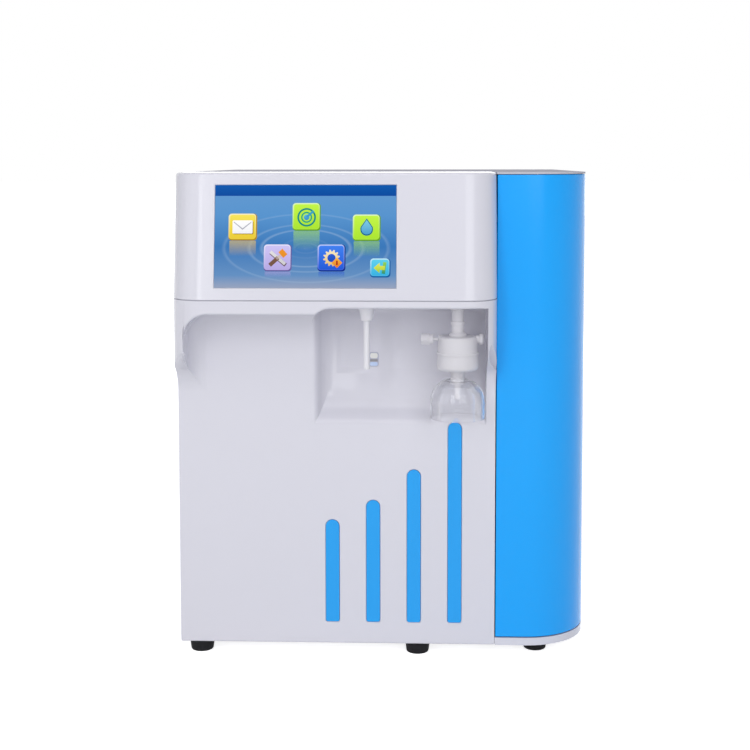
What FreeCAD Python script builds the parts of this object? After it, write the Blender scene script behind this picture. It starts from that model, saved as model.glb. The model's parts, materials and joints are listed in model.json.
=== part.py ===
import FreeCAD, Part
import math
import os
import re
import Sketcher

# A bench-top ultrapure water system: a white cabinet with a touch-screen head over a
# dispensing niche, and a tall blue side door in front of the cartridge bay.
# Frame: millimetres, +X to the user's right, +Y to the rear, +Z up.
# The origin is under the middle of the whole machine, on the surface it stands on.

Vector = FreeCAD.Vector
Rotation = FreeCAD.Rotation
Constraint = Sketcher.Constraint

doc = FreeCAD.newDocument("water_system")
sheet = doc.addObject("Spreadsheet::Sheet", "Sizes")

SIZES = {
    # the whole machine
    "overall_width": 405,
    "overall_depth": 500,
    "body_height": 469,
    "foot_height": 11,
    "door_width": 92,
    "head_height": 121.5,
    "brow_reach": 48,
    "port_reach": 22,
    "corner_radius": 61.5,
    "small_corner": 6,
    # walls and clearances
    "wall": 3,
    "sheet_wall": 1.5,
    "seam_gap": 0.6,
    "door_gap": 1,
    "fit_gap": 0.3,
    "running_gap": 0.05,
    "cut_margin": 1,
    # base, feet, posts, shelf
    "tray_height": 7.6,
    "foot_radius": 12.5,
    "foot_taper": 1.5,
    "foot_inset": 19.5,
    "middle_foot": 76.3,
    "foot_front_inset": 13,
    "right_foot_inset": 50,
    "right_foot_front": 27,
    "post_width": 12,
    "post_inset": 2,
    "shelf_height": 219,
    # front panel
    "panel_depth": 40,
    "swoop_below": 48.5,
    "swoop_drop": 30,
    "swoop_radius": 30,
    "left_rim": 12.4,
    "right_rim": 9.1,
    "recess_below": 13.3,
    "recess_height": 109.2,
    "recess_corner": 24,
    "niche_width": 163.4,
    "niche_below": 7,
    "niche_slant": 5,
    "niche_corner": 17,
    "niche_back_corner": 12,
    "scoop_above_bell": 6.5,
    "scoop_rake": 43.025,
    "scoop_clearance": 8.5,
    "scoop_bend_rise": 32.5,
    "scoop_slant": 10,
    "notch_width": 8,
    "notch_height": 36.4,
    "notch_below": 51.5,
    # accent bars
    "bar_width": 13.4,
    "bar_pitch": 40.3,
    "last_bar": 39.7,
    "bar_foot": 22.4,
    "bar_inset": 1.2,
    "bar_proud": 0.8,
    "bar_top_gap": 0.8,
    "bar_step_three": 47.7,
    "bar_step_two": 30.7,
    "bar_step_one": 20,
    # head and screen
    "head_behind": 3,
    "head_corner": 32,
    "face_tilt": 9.7,
    "screen_width": 173,
    "screen_left": 43.4,
    "screen_lift": 12.2,
    "screen_above": 11.95,
    "glass_thickness": 2.4,
    "module_border": 5,
    "module_thickness": 7,
    "board_thickness": 1.6,
    "standoff_length": 6,
    "standoff_radius": 3,
    # top cover and door
    "cover_thickness": 1.8,
    "door_flange": 14,
    "door_rib": 9,
    "hinge_radius": 9.5,
    "pin_radius": 3,
    "pin_reach": 16,
    "boss_radius": 7,
    "magnet_length": 20,
    "magnet_width": 8,
    "magnet_depth": 8,
    "strike_thickness": 1,
    "low_catch": 100,
    "high_catch": 59,
    # outlet
    "outlet_setback": 28,
    "nozzle_from_seam": 125.6,
    "collar_radius": 8.5,
    "collar_tip_radius": 5.75,
    "collar_length": 13.8,
    "spout_radius": 3,
    "spout_shank": 2.8,
    "spout_shoulder": 1,
    "spout_bore": 2,
    "spout_drop": 61.5,
    "spout_tail": 10.5,
    "badge_width": 9.4,
    "badge_height": 14.4,
    "badge_thickness": 1,
    "badge_above_bend": 4,
    "badge_from_seam": 125,
    # final filter
    "filter_from_seam": 37.6,
    "stem_radius": 6,
    "stem_drop": 28.8,
    "capsule_top_radius": 18.5,
    "capsule_bottom_radius": 20.5,
    "capsule_length": 33,
    "capsule_wall": 1.5,
    "neck_radius": 6.85,
    "neck_bore": 2,
    "neck_seat": 6,
    "membrane_radius": 14,
    "membrane_core": 4,
    "vent_radius": 4,
    "vent_lift": 3,
    "vent_length": 5,
    "vent_cap_radius": 5.5,
    "vent_cap_length": 12,
    "vent_wing_length": 7.2,
    "vent_wing_span": 17.6,
    "vent_pin_radius": 1.6,
    "drain_boss": 2.2,
    "drain_length": 4,
    "bell_radius": 26.5,
    "bell_wall": 1.6,
    "bell_slant": 1.28,
    "bell_height": 38.7,
    "bell_skirt": 18,
    "bell_shoulder_radius": 19,
    "bell_shoulder": 32.5,
    "bell_skirt_round": 12,
    "bell_crown_round": 10,
    "bell_seat": 2.2,
    "bell_gap": 8,
    "stub_radius": 2.75,
    "stub_length": 14,
    # cartridges in the bay
    "cartridge_radius": 34,
    "cartridge_headroom": 114,
    "cartridge_pitch": 82,
    "cartridge_row_shift": 2,
    "cartridge_shift": 0.75,
    "cartridge_neck": 14,
    "neck_height": 12,
    "cartridge_edge": 5,
    "clip_thickness": 2.4,
    "clip_height": 16,
    "low_clip": 70,
    "high_clip": 62,
    "head_cap_radius": 18,
    "head_cap_height": 22,
    "arm_radius": 5,
    # pumps
    "pump_axis_height": 44,
    "pump_from_left": 80,
    "pump_from_front": 90,
    "motor_radius": 34,
    "motor_length": 92,
    "motor_wall": 2.5,
    "rotor_radius": 27,
    "shaft_radius": 4,
    "pump_block": 78,
    "pump_block_depth": 40,
    "cam_radius": 10,
    "cam_throw": 2,
    "cam_length": 18,
    "second_pump_shift": 3,
    "second_pump_radius": 32,
    "second_pump_length": 84,
    "impeller_radius": 21,
    "impeller_length": 12,
    "impeller_blades": 6,
    "cradle_width": 40,
    # ultraviolet reactor, electrics
    "reactor_radius": 28,
    "reactor_length": 280,
    "reactor_wall": 2,
    "reactor_from_left": 42,
    "reactor_lift": 40,
    "reactor_from_rear": 60,
    "lamp_radius": 8,
    "saddle_width": 14,
    "supply_width": 98,
    "supply_length": 170,
    "supply_height": 42,
    "supply_from_left": 84,
    "control_length": 170,
    "control_below_arms": 27.5,
    "control_lift": 20,
    "chip_height": 10,
    "chip_length": 34,
    "chip_rise": 19.8,
    # valve, sensor, tubes
    "valve_width": 30,
    "valve_height": 26,
    "coil_height": 34,
    "plunger_radius": 5,
    "plunger_length": 18,
    "plunger_travel": 2,
    "valve_from_partition": 60,
    "valve_from_rear": 80,
    "cell_radius": 9,
    "cell_length": 46,
    "cell_barrel": 27.6,
    "cell_taper": 4.6,
    "cell_from_rear": 130,
    "tube_radius": 3.2,
    "tube_bend": 16,
    "tube_slot": 44,
    "slot_margin": 12,
    "rise_shift": 4,
    # rear ports
    "port_count": 3,
    "port_first": 60,
    "port_pitch": 42,
    "port_lift": 46,
    "port_radius": 9,
    "port_flange_radius": 12,
    "port_flange": 3,
    "port_tail": 14,
    "collet_radius": 5.5,
    "collet_head_radius": 7.5,
    "collet_head": 2,
    "collet_length": 12,
    "collet_travel": 1,
    "tube_hole": 3.25,
    # mains inlet module
    "inlet_from_left": 64,
    "inlet_below": 139,
    "inlet_width": 48,
    "inlet_height": 92,
    "inlet_flange": 3,
    "inlet_body_width": 32,
    "inlet_body_height": 80,
    "inlet_body_depth": 30,
    "socket_width": 25,
    "socket_height": 17,
    "socket_depth": 17,
    "blade_width": 2,
    "blade_height": 4,
    "blade_pitch": 7,
    "blade_rise": 2,
    "drawer_width": 22,
    "drawer_height": 12,
    "drawer_depth": 18,
    "rocker_width": 13,
    "rocker_height": 19,
    "rocker_radius": 11,
    "rocker_tilt": 10,
    "rocker_pivot": 1.5,
    # fan
    "fan_from_left": 215,
    "fan_below": 69,
    "fan_size": 60,
    "fan_thickness": 15,
    "fan_bore": 28.5,
    "fan_blade_reach": 26.5,
    "fan_hub": 11,
    "fan_blade_root": 8,
    "fan_pitch": 35,
    "fan_blades": 7,
    "fan_pin": 1.5,
    "guard_wire": 1.2,
    # screws
    "screw_head": 3.2,
    "screw_head_height": 1.6,
    "screw_shank": 1.5,
    "screw_length": 9,
    "screw_inset": 8,
}

for row, (name, size) in enumerate(SIZES.items(), start=1):
    sheet.set(f"A{row}", str(size))
    sheet.setAlias(f"A{row}", name)
doc.recompute()

# Main planes, each worked out from the sheet.
LEFT = "(-overall_width / 2)"
RIGHT = "(overall_width / 2)"
BROW = "(-overall_depth / 2)"
FRONT = f"({BROW} + brow_reach)"
REAR = "(overall_depth / 2 - port_reach)"
FLOOR = "foot_height"
TOP = "(foot_height + body_height)"
SEAM_X = f"({RIGHT} - door_width)"
SEAM_Z = f"({TOP} - head_height)"
FRONT_WIDTH = "(overall_width - door_width)"
TRAY_FLOOR = "(foot_height + wall)"
TRAY_TOP = "(foot_height + tray_height)"
COVER_BOTTOM = f"({TOP} - cover_thickness)"
PANEL_BACK = f"({FRONT} + panel_depth)"
NICHE_TOP = f"({SEAM_Z} - niche_below)"
STEM_BOTTOM = f"({NICHE_TOP} - stem_drop)"
CAPSULE_BOTTOM = f"({STEM_BOTTOM} - capsule_length)"
BELL_TOP = f"({CAPSULE_BOTTOM} - bell_gap)"
BELL_BOTTOM = f"({BELL_TOP} - bell_height)"
NICHE_LEFT = f"({SEAM_X} - right_rim - niche_width)"
RECESS_TOP = f"({SEAM_Z} - recess_below)"
SCREEN_HEIGHT = "((head_height - seam_gap) / cos(face_tilt) - screen_lift - screen_above)"
DOOR_BOTTOM = f"({TRAY_TOP} + door_gap)"
DOOR_TOP = f"({COVER_BOTTOM} - door_gap / 2)"
DOOR_LEFT = f"({SEAM_X} + door_gap)"
INLET_X = f"({LEFT} + inlet_from_left)"
INLET_Z = f"({TOP} - inlet_below)"
FAN_X = f"({LEFT} + fan_from_left)"
FAN_Z = f"({TOP} - fan_below)"
HINGE_X = f"({RIGHT} - hinge_radius)"
HINGE_Y = f"({REAR} - hinge_radius - fit_gap)"
REAR_EDGE = f"({RIGHT} - 2 * hinge_radius - door_gap)"
PARTITION_X = f"({SEAM_X} - wall)"
PARTITION_RIGHT = f"({PARTITION_X} + sheet_wall)"
SHELF_TOP = "(foot_height + shelf_height + sheet_wall)"
OUTLET_Y = f"({BROW} + outlet_setback)"
SCOOP_Y = f"({OUTLET_Y} + bell_radius + scoop_clearance)"
SCOOP_Z = f"({BELL_BOTTOM} + scoop_above_bell)"
NICHE_FOOT = f"({SCOOP_Z} - ({SCOOP_Y} - {FRONT}) * tan(scoop_rake))"
BEND_Y = f"({SCOOP_Y} + scoop_slant)"
BEND_Z = f"({SCOOP_Z} + scoop_bend_rise)"
NICHE_BACK = f"({BEND_Y} + niche_slant)"
NOZZLE_X = f"({SEAM_X} - nozzle_from_seam)"
FILTER_X = f"({SEAM_X} - filter_from_seam)"
CARTRIDGE_X = f"(({PARTITION_RIGHT} + {RIGHT} - door_rib) / 2 + cartridge_shift)"
CARTRIDGE_STANDOFF = f"({CARTRIDGE_X} - cartridge_radius - {PARTITION_RIGHT})"
CARTRIDGE_LENGTH = f"({TOP} - cartridge_headroom - {TRAY_FLOOR})"
ARM_Z = f"({TRAY_FLOOR} + {CARTRIDGE_LENGTH} + neck_height + head_cap_height / 2)"
PUMP_X = f"({LEFT} + pump_from_left)"
PUMP_Y = f"({FRONT} + pump_from_front + pump_block_depth / 2)"
PUMP_Z = f"({TRAY_FLOOR} + pump_axis_height)"
VALVE_X = f"({PARTITION_X} - valve_from_partition)"
PUMP_GAP_MIDDLE = f"(({PUMP_X} + pump_block / 2 + {VALVE_X} - valve_width / 2) / 2)"
SECOND_PUMP_X = f"({PUMP_GAP_MIDDLE} + second_pump_shift)"

CARTRIDGES = [
    "pretreatment_cartridge",
    "membrane_housing",
    "polishing_cartridge_1",
    "polishing_cartridge_2",
]
ROW_MIDDLE = f"(({FRONT} + {REAR}) / 2 - cartridge_row_shift)"
ROW_HALF = f"(cartridge_pitch * {len(CARTRIDGES) - 1} / 2)"
HEAD_BACK = f"({ROW_MIDDLE} - {ROW_HALF} - arm_radius - head_behind)"


# ---------------------------------------------------------------- modelling helpers

def spell(text):
    """Write an expression out with the sheet's name before each size."""
    def full_name(match):
        word = match.group()
        return f"Sizes.{word}" if word in SIZES else word
    return re.sub(r"[a-z][a-z_]*", full_name, str(text))


def bind(thing, prop, text):
    """Tie a property to an expression of the sheet's sizes."""
    thing.setExpression(prop, spell(text))


def number(text):
    """Work an expression out as a plain number."""
    result = sheet.evalExpression(spell(text))
    return float(getattr(result, "Value", result))


AXES = {
    "Z": Rotation(),
    "Y": Rotation(Vector(1, 0, 0), -90),
    "X": Rotation(Vector(0, 1, 0), 90),
}


def place(thing, x, y, z, turn=None):
    """Stand a piece at a point, with its own +Z along a named axis or a rotation."""
    rotation = turn if isinstance(turn, Rotation) else AXES[turn or "Z"]
    thing.Placement = FreeCAD.Placement(Vector(), rotation)
    bind(thing, "Placement.Base.x", x)
    bind(thing, "Placement.Base.y", y)
    bind(thing, "Placement.Base.z", z)
    return thing


def box(x, y, z, length, width, height):
    """A block with its lowest corner at x, y, z."""
    block = doc.addObject("Part::Box", "block")
    bind(block, "Length", length)
    bind(block, "Width", width)
    bind(block, "Height", height)
    return place(block, x, y, z)


def rod(x, y, z, radius, length, axis="Z"):
    """A round bar that starts at x, y, z and runs along an axis."""
    bar = doc.addObject("Part::Cylinder", "rod")
    bind(bar, "Radius", radius)
    bind(bar, "Height", length)
    return place(bar, x, y, z, axis)


def cone(x, y, z, radius, tip_radius, length, axis="Z"):
    """A tapered round bar that starts at x, y, z."""
    taper = doc.addObject("Part::Cone", "cone")
    bind(taper, "Radius1", radius)
    bind(taper, "Radius2", tip_radius)
    bind(taper, "Height", length)
    return place(taper, x, y, z, axis)


def torus(x, y, z, radius, wire, axis="Z"):
    """A ring of round wire about an axis."""
    ring = doc.addObject("Part::Torus", "ring")
    bind(ring, "Radius1", radius)
    bind(ring, "Radius2", wire)
    return place(ring, x, y, z, axis)


def fuse(*pieces):
    """Join touching pieces into one."""
    joined = doc.addObject("Part::MultiFuse", "joined")
    joined.Shapes = list(pieces)
    joined.Refine = True
    return joined


def common(*pieces):
    """Keep what all the pieces share."""
    shared = doc.addObject("Part::MultiCommon", "shared")
    shared.Shapes = list(pieces)
    return shared


def cut(base, *tools):
    """Take the tools away from the base."""
    result = doc.addObject("Part::Cut", "cut")
    result.Base = base
    result.Tool = tools[0] if len(tools) == 1 else fuse(*tools)
    return result


def group(*pieces):
    """Hold separate solids together in one node."""
    held = doc.addObject("Part::Compound", "group")
    held.Links = list(pieces)
    return held


def pin_corner(sketch, line, kind, axis_line, text):
    """Fix one coordinate of a line's start to an expression."""
    size = number(text)
    if abs(size) < 1e-9:
        sketch.addConstraint(Constraint("PointOnObject", line, 1, axis_line))
    elif size > 0:
        index = sketch.addConstraint(Constraint(kind, -1, 1, line, 1, size))
        bind(sketch, f"Constraints[{index}]", text)
    else:
        index = sketch.addConstraint(Constraint(kind, line, 1, -1, 1, -size))
        bind(sketch, f"Constraints[{index}]", f"-({text})")


def outline(body, plane, corners):
    """Sketch a closed outline of straight lines on one of the body's origin planes."""
    support = [face for face in body.Origin.OriginFeatures if face.Role == f"{plane}_Plane"][0]
    sketch = body.newObject("Sketcher::SketchObject", "outline")
    sketch.AttachmentSupport = (support, "")
    sketch.MapMode = "FlatFace"
    points = [Vector(number(across), number(up), 0) for across, up in corners]
    for start, end in zip(points, points[1:] + points[:1]):
        sketch.addGeometry(Part.LineSegment(start, end), False)
    for line in range(len(points)):
        sketch.addConstraint(Constraint("Coincident", line, 2, (line + 1) % len(points), 1))
    for line, (across, up) in enumerate(corners):
        pin_corner(sketch, line, "DistanceX", -2, across)
        pin_corner(sketch, line, "DistanceY", -1, up)
    return sketch


def round_edges(body, base, found, radius):
    """Round the edges that a test finds on the last feature of a body."""
    doc.recompute()
    names = [f"Edge{i}" for i, edge in enumerate(base.Shape.Edges, start=1) if found(edge)]
    fillet = body.newObject("PartDesign::Fillet", "round")
    fillet.Base = (base, names)
    bind(fillet, "Radius", radius)
    return fillet


def prism(plane, corners, start, length, rounds=(), lean=None):
    """Pad an outline along its plane's normal from start, with some corners rounded.

    rounds holds (corner index, radius) pairs. lean tilts the pad's direction towards +Y.
    """
    body = doc.addObject("PartDesign::Body", "body")
    sketch = outline(body, plane, corners)
    pad = body.newObject("PartDesign::Pad", "pad")
    pad.Profile = sketch
    pad.Reversed = plane == "XZ"
    bind(pad, "Length", length)
    if lean:
        pad.UseCustomVector = True
        pad.AlongSketchNormal = True
        pad.Direction = Vector(0, number(f"sin({lean})"), number(f"cos({lean})"))
    sketch.Visibility = False
    first, second = plane.lower()
    base = pad
    for corner, radius in rounds:
        across, up = [number(text) for text in corners[corner]]

        def at_corner(edge):
            ends = [vertex.Point for vertex in edge.Vertexes]
            near = [abs(getattr(p, first) - across) + abs(getattr(p, second) - up) < 1e-4 for p in ends]
            return all(near) if not lean else any(near) and runs_up(edge)

        base = round_edges(body, base, at_corner, radius)
    offset = {"XY": "z", "XZ": "y", "YZ": "x"}[plane]
    bind(body, f"Placement.Base.{offset}", start)
    return body


def runs_up(edge):
    """Tell whether an edge climbs rather than lies level."""
    ends = [vertex.Point.z for vertex in edge.Vertexes]
    return abs(ends[0] - ends[-1]) > 1e-4


def turned(profile, x, y, z, axis="Z", rounds=()):
    """Turn a profile of (radius, height) corners about an axis that starts at x, y, z."""
    body = doc.addObject("PartDesign::Body", "body")
    sketch = outline(body, "XZ", profile)
    spin = body.newObject("PartDesign::Revolution", "spin")
    spin.Profile = sketch
    spin.ReferenceAxis = (sketch, ["V_Axis"])
    spin.Angle = 360
    base = spin
    for corner, radius in rounds:
        across, up = [number(text) for text in profile[corner]]

        def is_ring(edge):
            curve = edge.Curve
            round_one = isinstance(curve, Part.Circle)
            return round_one and abs(curve.Radius - across) + abs(curve.Center.z - up) < 1e-4

        base = round_edges(body, base, is_ring, radius)
    return place(body, x, y, z, axis)


def tube_path(points, bend):
    """A wire of straight runs with each corner turned on an arc of one radius."""
    edges = []
    here = points[0]
    for before, corner, after in zip(points, points[1:], points[2:]):
        inward = (before - corner).normalize()
        outward = (after - corner).normalize()
        half_turn = (math.pi - inward.getAngle(outward)) / 2
        run = bend * math.tan(half_turn)
        arc_start = corner + inward * run
        arc_end = corner + outward * run
        middle = (inward + outward).normalize()
        arc_middle = corner + middle * (math.hypot(run, bend) - bend)
        edges.append(Part.LineSegment(here, arc_start).toShape())
        edges.append(Part.Arc(arc_start, arc_middle, arc_end).toShape())
        here = arc_end
    edges.append(Part.LineSegment(here, points[-1]).toShape())
    return Part.Wire(edges)


def tube(points):
    """A soft plastic tube along corners given as triples of expressions."""
    corners = [Vector(*[number(text) for text in point]) for point in points]
    path = tube_path(corners, number("tube_bend"))
    first_edge = path.Edges[0]
    start = first_edge.Vertexes[0].Point
    along = first_edge.tangentAt(first_edge.FirstParameter)
    ring = Part.Wire(Part.makeCircle(number("tube_radius"), start, along))
    piece = doc.addObject("Part::Feature", "tube")
    piece.Shape = path.makePipeShell([ring], True, True)
    return piece


nodes = {}


def node(name, thing, solids=1):
    """Name a finished sub-part and note how many separate solids it holds."""
    thing.Label = name
    nodes[name] = (thing, solids)
    return thing


# ---------------------------------------------------------------- base and frame

def tray_outline(inset):
    """The base's plan, notched where the front panel wraps it."""
    slot = f"{PANEL_BACK} + fit_gap"
    front = f"{FRONT} + wall + fit_gap + {inset}"
    left = f"{LEFT} + wall + fit_gap + {inset}"
    return [
        (f"{SEAM_X} + fit_gap + {inset}", f"{FRONT} + {inset}"),
        (f"{RIGHT} - {inset}", f"{FRONT} + {inset}"),
        (f"{RIGHT} - {inset}", f"{REAR} - {inset}"),
        (f"{LEFT} + {inset}", f"{REAR} - {inset}"),
        (f"{LEFT} + {inset}", f"{slot} + {inset}"),
        (left, f"{slot} + {inset}"),
        (left, front),
        (f"{SEAM_X} - wall - fit_gap - {inset}", front),
        (f"{SEAM_X} - wall - fit_gap - {inset}", f"{slot} + {inset}"),
        (f"{SEAM_X} + fit_gap + {inset}", f"{slot} + {inset}"),
    ]


def build_base():
    """Moulded base tray with a boss for the door's lower pivot."""
    plate = prism("XY", tray_outline("0"), FLOOR, "tray_height",
                  rounds=[(1, "corner_radius"), (2, "small_corner"), (3, "small_corner")])
    pocket = prism("XY", tray_outline("wall"), TRAY_FLOOR, "tray_height",
                   rounds=[(1, "corner_radius - wall")])
    boss = rod(HINGE_X, HINGE_Y, TRAY_FLOOR, "boss_radius", "tray_height - wall")
    pivot_hole = rod(HINGE_X, HINGE_Y, TRAY_FLOOR, "pin_radius", "tray_height")
    tray = cut(fuse(cut(plate, pocket), boss), pivot_hole)
    return node("base_tray", tray)


def foot_places():
    """Where the six feet stand: left, middle and right, front and rear."""
    left = f"{LEFT} + foot_inset"
    middle = f"{SEAM_X} - middle_foot"
    right = f"{RIGHT} - right_foot_inset"
    front = f"{FRONT} + foot_front_inset"
    rear = f"{REAR} - foot_inset - foot_radius"
    places = [(across, depth) for across in (left, middle) for depth in (front, rear)]
    places.append((right, f"{FRONT} + right_foot_front"))
    places.append((right, rear))
    return places


def build_feet():
    """Tapered rubber feet under the base."""
    feet = [cone(across, depth, "0", "foot_radius - foot_taper", "foot_radius", "foot_height")
            for across, depth in foot_places()]
    return node("rubber_feet", group(*feet), solids=6)


def post_places():
    """Corner of each upright: two at the left, one at the right rear."""
    left = f"{LEFT} + sheet_wall + post_inset"
    rear = f"{REAR} - sheet_wall - post_width - post_inset"
    return [
        (left, f"{HEAD_BACK} + post_inset"),
        (left, rear),
        (f"{REAR_EDGE} - post_width", rear),
    ]


def build_frame():
    """Uprights, shelf and the partition between the pump bay and the cartridge bay."""
    shanks = screw_shanks()
    posts = []
    for across, depth in post_places():
        blank = box(across, depth, TRAY_FLOOR, "post_width", "post_width",
                    f"{COVER_BOTTOM} - {TRAY_FLOOR}")
        posts.append(cut(blank, *shanks))
    node("frame_posts", group(*posts), solids=len(posts))
    plate = prism("YZ", [
        (f"{PANEL_BACK} + 2 * wall", TRAY_FLOOR),
        (f"{REAR} - wall", TRAY_FLOOR),
        (f"{REAR} - wall", COVER_BOTTOM),
        (f"{HEAD_BACK} + seam_gap", COVER_BOTTOM),
        (f"{HEAD_BACK} + seam_gap", SEAM_Z),
        (f"{PANEL_BACK} + 2 * wall", SEAM_Z),
    ], PARTITION_X, "sheet_wall")
    passes = [rod(PARTITION_X, cartridge_y(order), ARM_Z, "arm_radius", "sheet_wall", "X")
              for order in range(len(CARTRIDGES))]
    node("partition_plate", cut(plate, *passes))
    shelf_left = f"({LEFT} + sheet_wall + post_inset + post_width)"
    shelf_front = f"({HEAD_BACK} - 2 * post_inset)"
    shelf = box(shelf_left, shelf_front, "foot_height + shelf_height", f"{PARTITION_X} - {shelf_left}",
                f"{REAR} - sheet_wall - {shelf_front}", "sheet_wall")
    slot = box(f"{PARTITION_X} - tube_slot", shelf_front, "foot_height + shelf_height", "tube_slot",
               f"{PUMP_Y} + slot_margin - {shelf_front}", "sheet_wall")
    node("shelf_plate", cut(shelf, slot))


# ---------------------------------------------------------------- outer covers

def front_form(inset):
    """The front panel's outside, or its inside when inset by a wall."""
    shift = f"{inset} * tan(atan(brow_reach / swoop_drop) / 2)"
    back = f"{PANEL_BACK} + 2 * {inset}"
    top = f"{SEAM_Z} + 2 * {inset}"
    bottom = f"foot_height - 2 * {inset}"
    profile = prism("YZ", [
        (back, bottom),
        (f"{FRONT} + {inset}", bottom),
        (f"{FRONT} + {inset}", f"{SEAM_Z} - swoop_below - swoop_drop + {shift}"),
        (f"{BROW} + {inset}", f"{SEAM_Z} - swoop_below + {shift}"),
        (f"{BROW} + {inset}", top),
        (back, top),
    ], f"{LEFT} + {inset}", f"{FRONT_WIDTH} - 2 * {inset}",
        rounds=[(2, f"swoop_radius + {inset}"), (3, f"swoop_radius - {inset}")])
    plan = prism("XY", [
        (f"{LEFT} + {inset}", f"{BROW} + {inset}"),
        (f"{SEAM_X} - {inset}", f"{BROW} + {inset}"),
        (f"{SEAM_X} - {inset}", back),
        (f"{LEFT} + {inset}", back),
    ], bottom, f"{top} - ({bottom})",
        rounds=[(0, f"head_corner - {inset}"), (1, f"head_corner - {inset}")])
    recess = prism("XZ", [
        (f"{LEFT} + left_rim - {inset}", f"{RECESS_TOP} - recess_height"),
        (f"{SEAM_X} - right_rim + {inset}", f"{RECESS_TOP} - recess_height"),
        (f"{SEAM_X} - right_rim + {inset}", f"{RECESS_TOP} + {inset}"),
        (f"{LEFT} + left_rim - {inset}", f"{RECESS_TOP} + {inset}"),
    ], f"{BROW} - wall", f"brow_reach + wall + {inset}", rounds=[(3, f"recess_corner + {inset}")])
    scoop = prism("YZ", [
        (f"{BROW} - wall", NICHE_FOOT),
        (f"{FRONT} + {inset}", NICHE_FOOT),
        (f"{SCOOP_Y} + {inset}", SCOOP_Z),
        (f"{BEND_Y} + {inset}", BEND_Z),
        (f"{NICHE_BACK} + {inset}", f"{NICHE_TOP} + {inset}"),
        (f"{BROW} - wall", f"{NICHE_TOP} + {inset}"),
    ], f"{NICHE_LEFT} - {inset}", f"niche_width + 2 * {inset}",
        rounds=[(2, "swoop_radius"), (3, "swoop_radius"), (4, f"niche_back_corner + {inset}")])
    window = prism("XZ", [
        (f"{NICHE_LEFT} - {inset}", "foot_height"),
        (f"{SEAM_X} - right_rim + {inset}", "foot_height"),
        (f"{SEAM_X} - right_rim + {inset}", f"{NICHE_TOP} + {inset}"),
        (f"{NICHE_LEFT} - {inset}", f"{NICHE_TOP} + {inset}"),
    ], f"{BROW} - wall", f"{NICHE_BACK} - {BROW} + 3 * wall + {inset}",
        rounds=[(3, f"niche_corner + {inset}")])
    return cut(common(profile, plan), recess, common(scoop, window))


BAR_TOP_DROPS = [
    "bar_step_one + bar_step_two + bar_step_three",
    "bar_step_two + bar_step_three",
    "bar_step_three",
    "0",
]


def bar_blank(order, drop, proud):
    """The outline of one accent bar as a solid that stands proud by the given amount."""
    middle = f"({SEAM_X} - last_bar - bar_pitch * {len(BAR_TOP_DROPS) - 1 - order})"
    foot = "(foot_height + bar_foot)"
    reach = f"bar_inset + {proud}"
    straight = f"({NICHE_FOOT} - bar_top_gap - ({drop}) - bar_width / 2 - {foot})"
    strip = box(f"{middle} - bar_width / 2", f"{FRONT} - {proud}", foot, "bar_width", reach, straight)
    crown = rod(middle, f"{FRONT} - {proud}", f"{foot} + {straight}", "bar_width / 2", reach, "Y")
    return fuse(strip, crown)


def build_front():
    """The moulded front panel with its brow, niche, bar grooves and finger notch."""
    grooves = [bar_blank(order, drop, "wall") for order, drop in enumerate(BAR_TOP_DROPS)]
    notch = finger_notch()
    outlet_hole = rod(NOZZLE_X, OUTLET_Y, NICHE_TOP, "spout_shank + fit_gap", "2 * wall")
    filter_hole = rod(FILTER_X, OUTLET_Y, NICHE_TOP, "neck_radius / 2 + fit_gap", "2 * wall")
    panel = cut(front_form("0"), front_form("wall"), notch, outlet_hole, filter_hole, *grooves)
    node("front_panel", panel)
    for order, drop in enumerate(BAR_TOP_DROPS):
        node(f"accent_bar_{order + 1}", bar_blank(order, drop, "bar_proud"))


def finger_notch():
    """A half-round finger recess in the panel's right edge, beside the door."""
    middle = f"({SEAM_Z} - notch_below)"
    half = "notch_height / 2"
    arc_radius = f"(({half}) ^ 2 + notch_width ^ 2) / (2 * notch_width)"
    bite = rod(f"{SEAM_X} - notch_width + {arc_radius}", f"{BROW} - wall", middle,
               arc_radius, "brow_reach + wall + door_flange / 2", "Y")
    window = box(f"{SEAM_X} - notch_width - wall", f"{BROW} - wall", f"{middle} - {half}",
                 "notch_width + 2 * wall", "brow_reach + 2 * wall + door_flange", "notch_height")
    return common(bite, window)


def head_form(inset):
    """The screen head's outside, or its inside when inset by a wall."""
    bottom = f"{SEAM_Z} + seam_gap - 2 * {inset}"
    rise = f"{TOP} - {inset} - ({bottom})"
    shift = f"-2 * {inset} * tan(face_tilt)"
    front = f"{BROW} + {inset} / cos(face_tilt) + ({shift})"
    lump = prism("XY", [
        (f"{LEFT} + {inset}", front),
        (f"{SEAM_X} - {inset}", front),
        (f"{SEAM_X} - {inset}", f"{HEAD_BACK} + 2 * {inset}"),
        (f"{LEFT} + {inset}", f"{HEAD_BACK} + 2 * {inset}"),
    ], bottom, rise, rounds=[(0, f"head_corner - {inset}"), (1, f"head_corner - {inset}")],
        lean="face_tilt")
    limit = box(LEFT, f"{BROW} - wall", bottom, FRONT_WIDTH,
                f"{HEAD_BACK} - {BROW} + wall + 2 * {inset}", rise)
    return common(lump, limit)


def on_face(across, up, inward):
    """A point of the tilted face: from its left end, up from the seam, and inward."""
    x = f"({LEFT} + {across})"
    y = f"({BROW} + ({up}) * sin(face_tilt) + ({inward}) * cos(face_tilt))"
    z = f"({SEAM_Z} + seam_gap + ({up}) * cos(face_tilt) - ({inward}) * sin(face_tilt))"
    return x, y, z


def face_box(across, up, inward, width, height, thickness):
    """A block lying in the tilted face."""
    slab = doc.addObject("Part::Box", "slab")
    bind(slab, "Length", width)
    bind(slab, "Width", thickness)
    bind(slab, "Height", height)
    place(slab, *on_face(across, up, inward), turn=Rotation(Vector(-1, 0, 0), number("face_tilt")))
    bind(slab, "Placement.Rotation.Angle", "face_tilt")
    return slab


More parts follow.
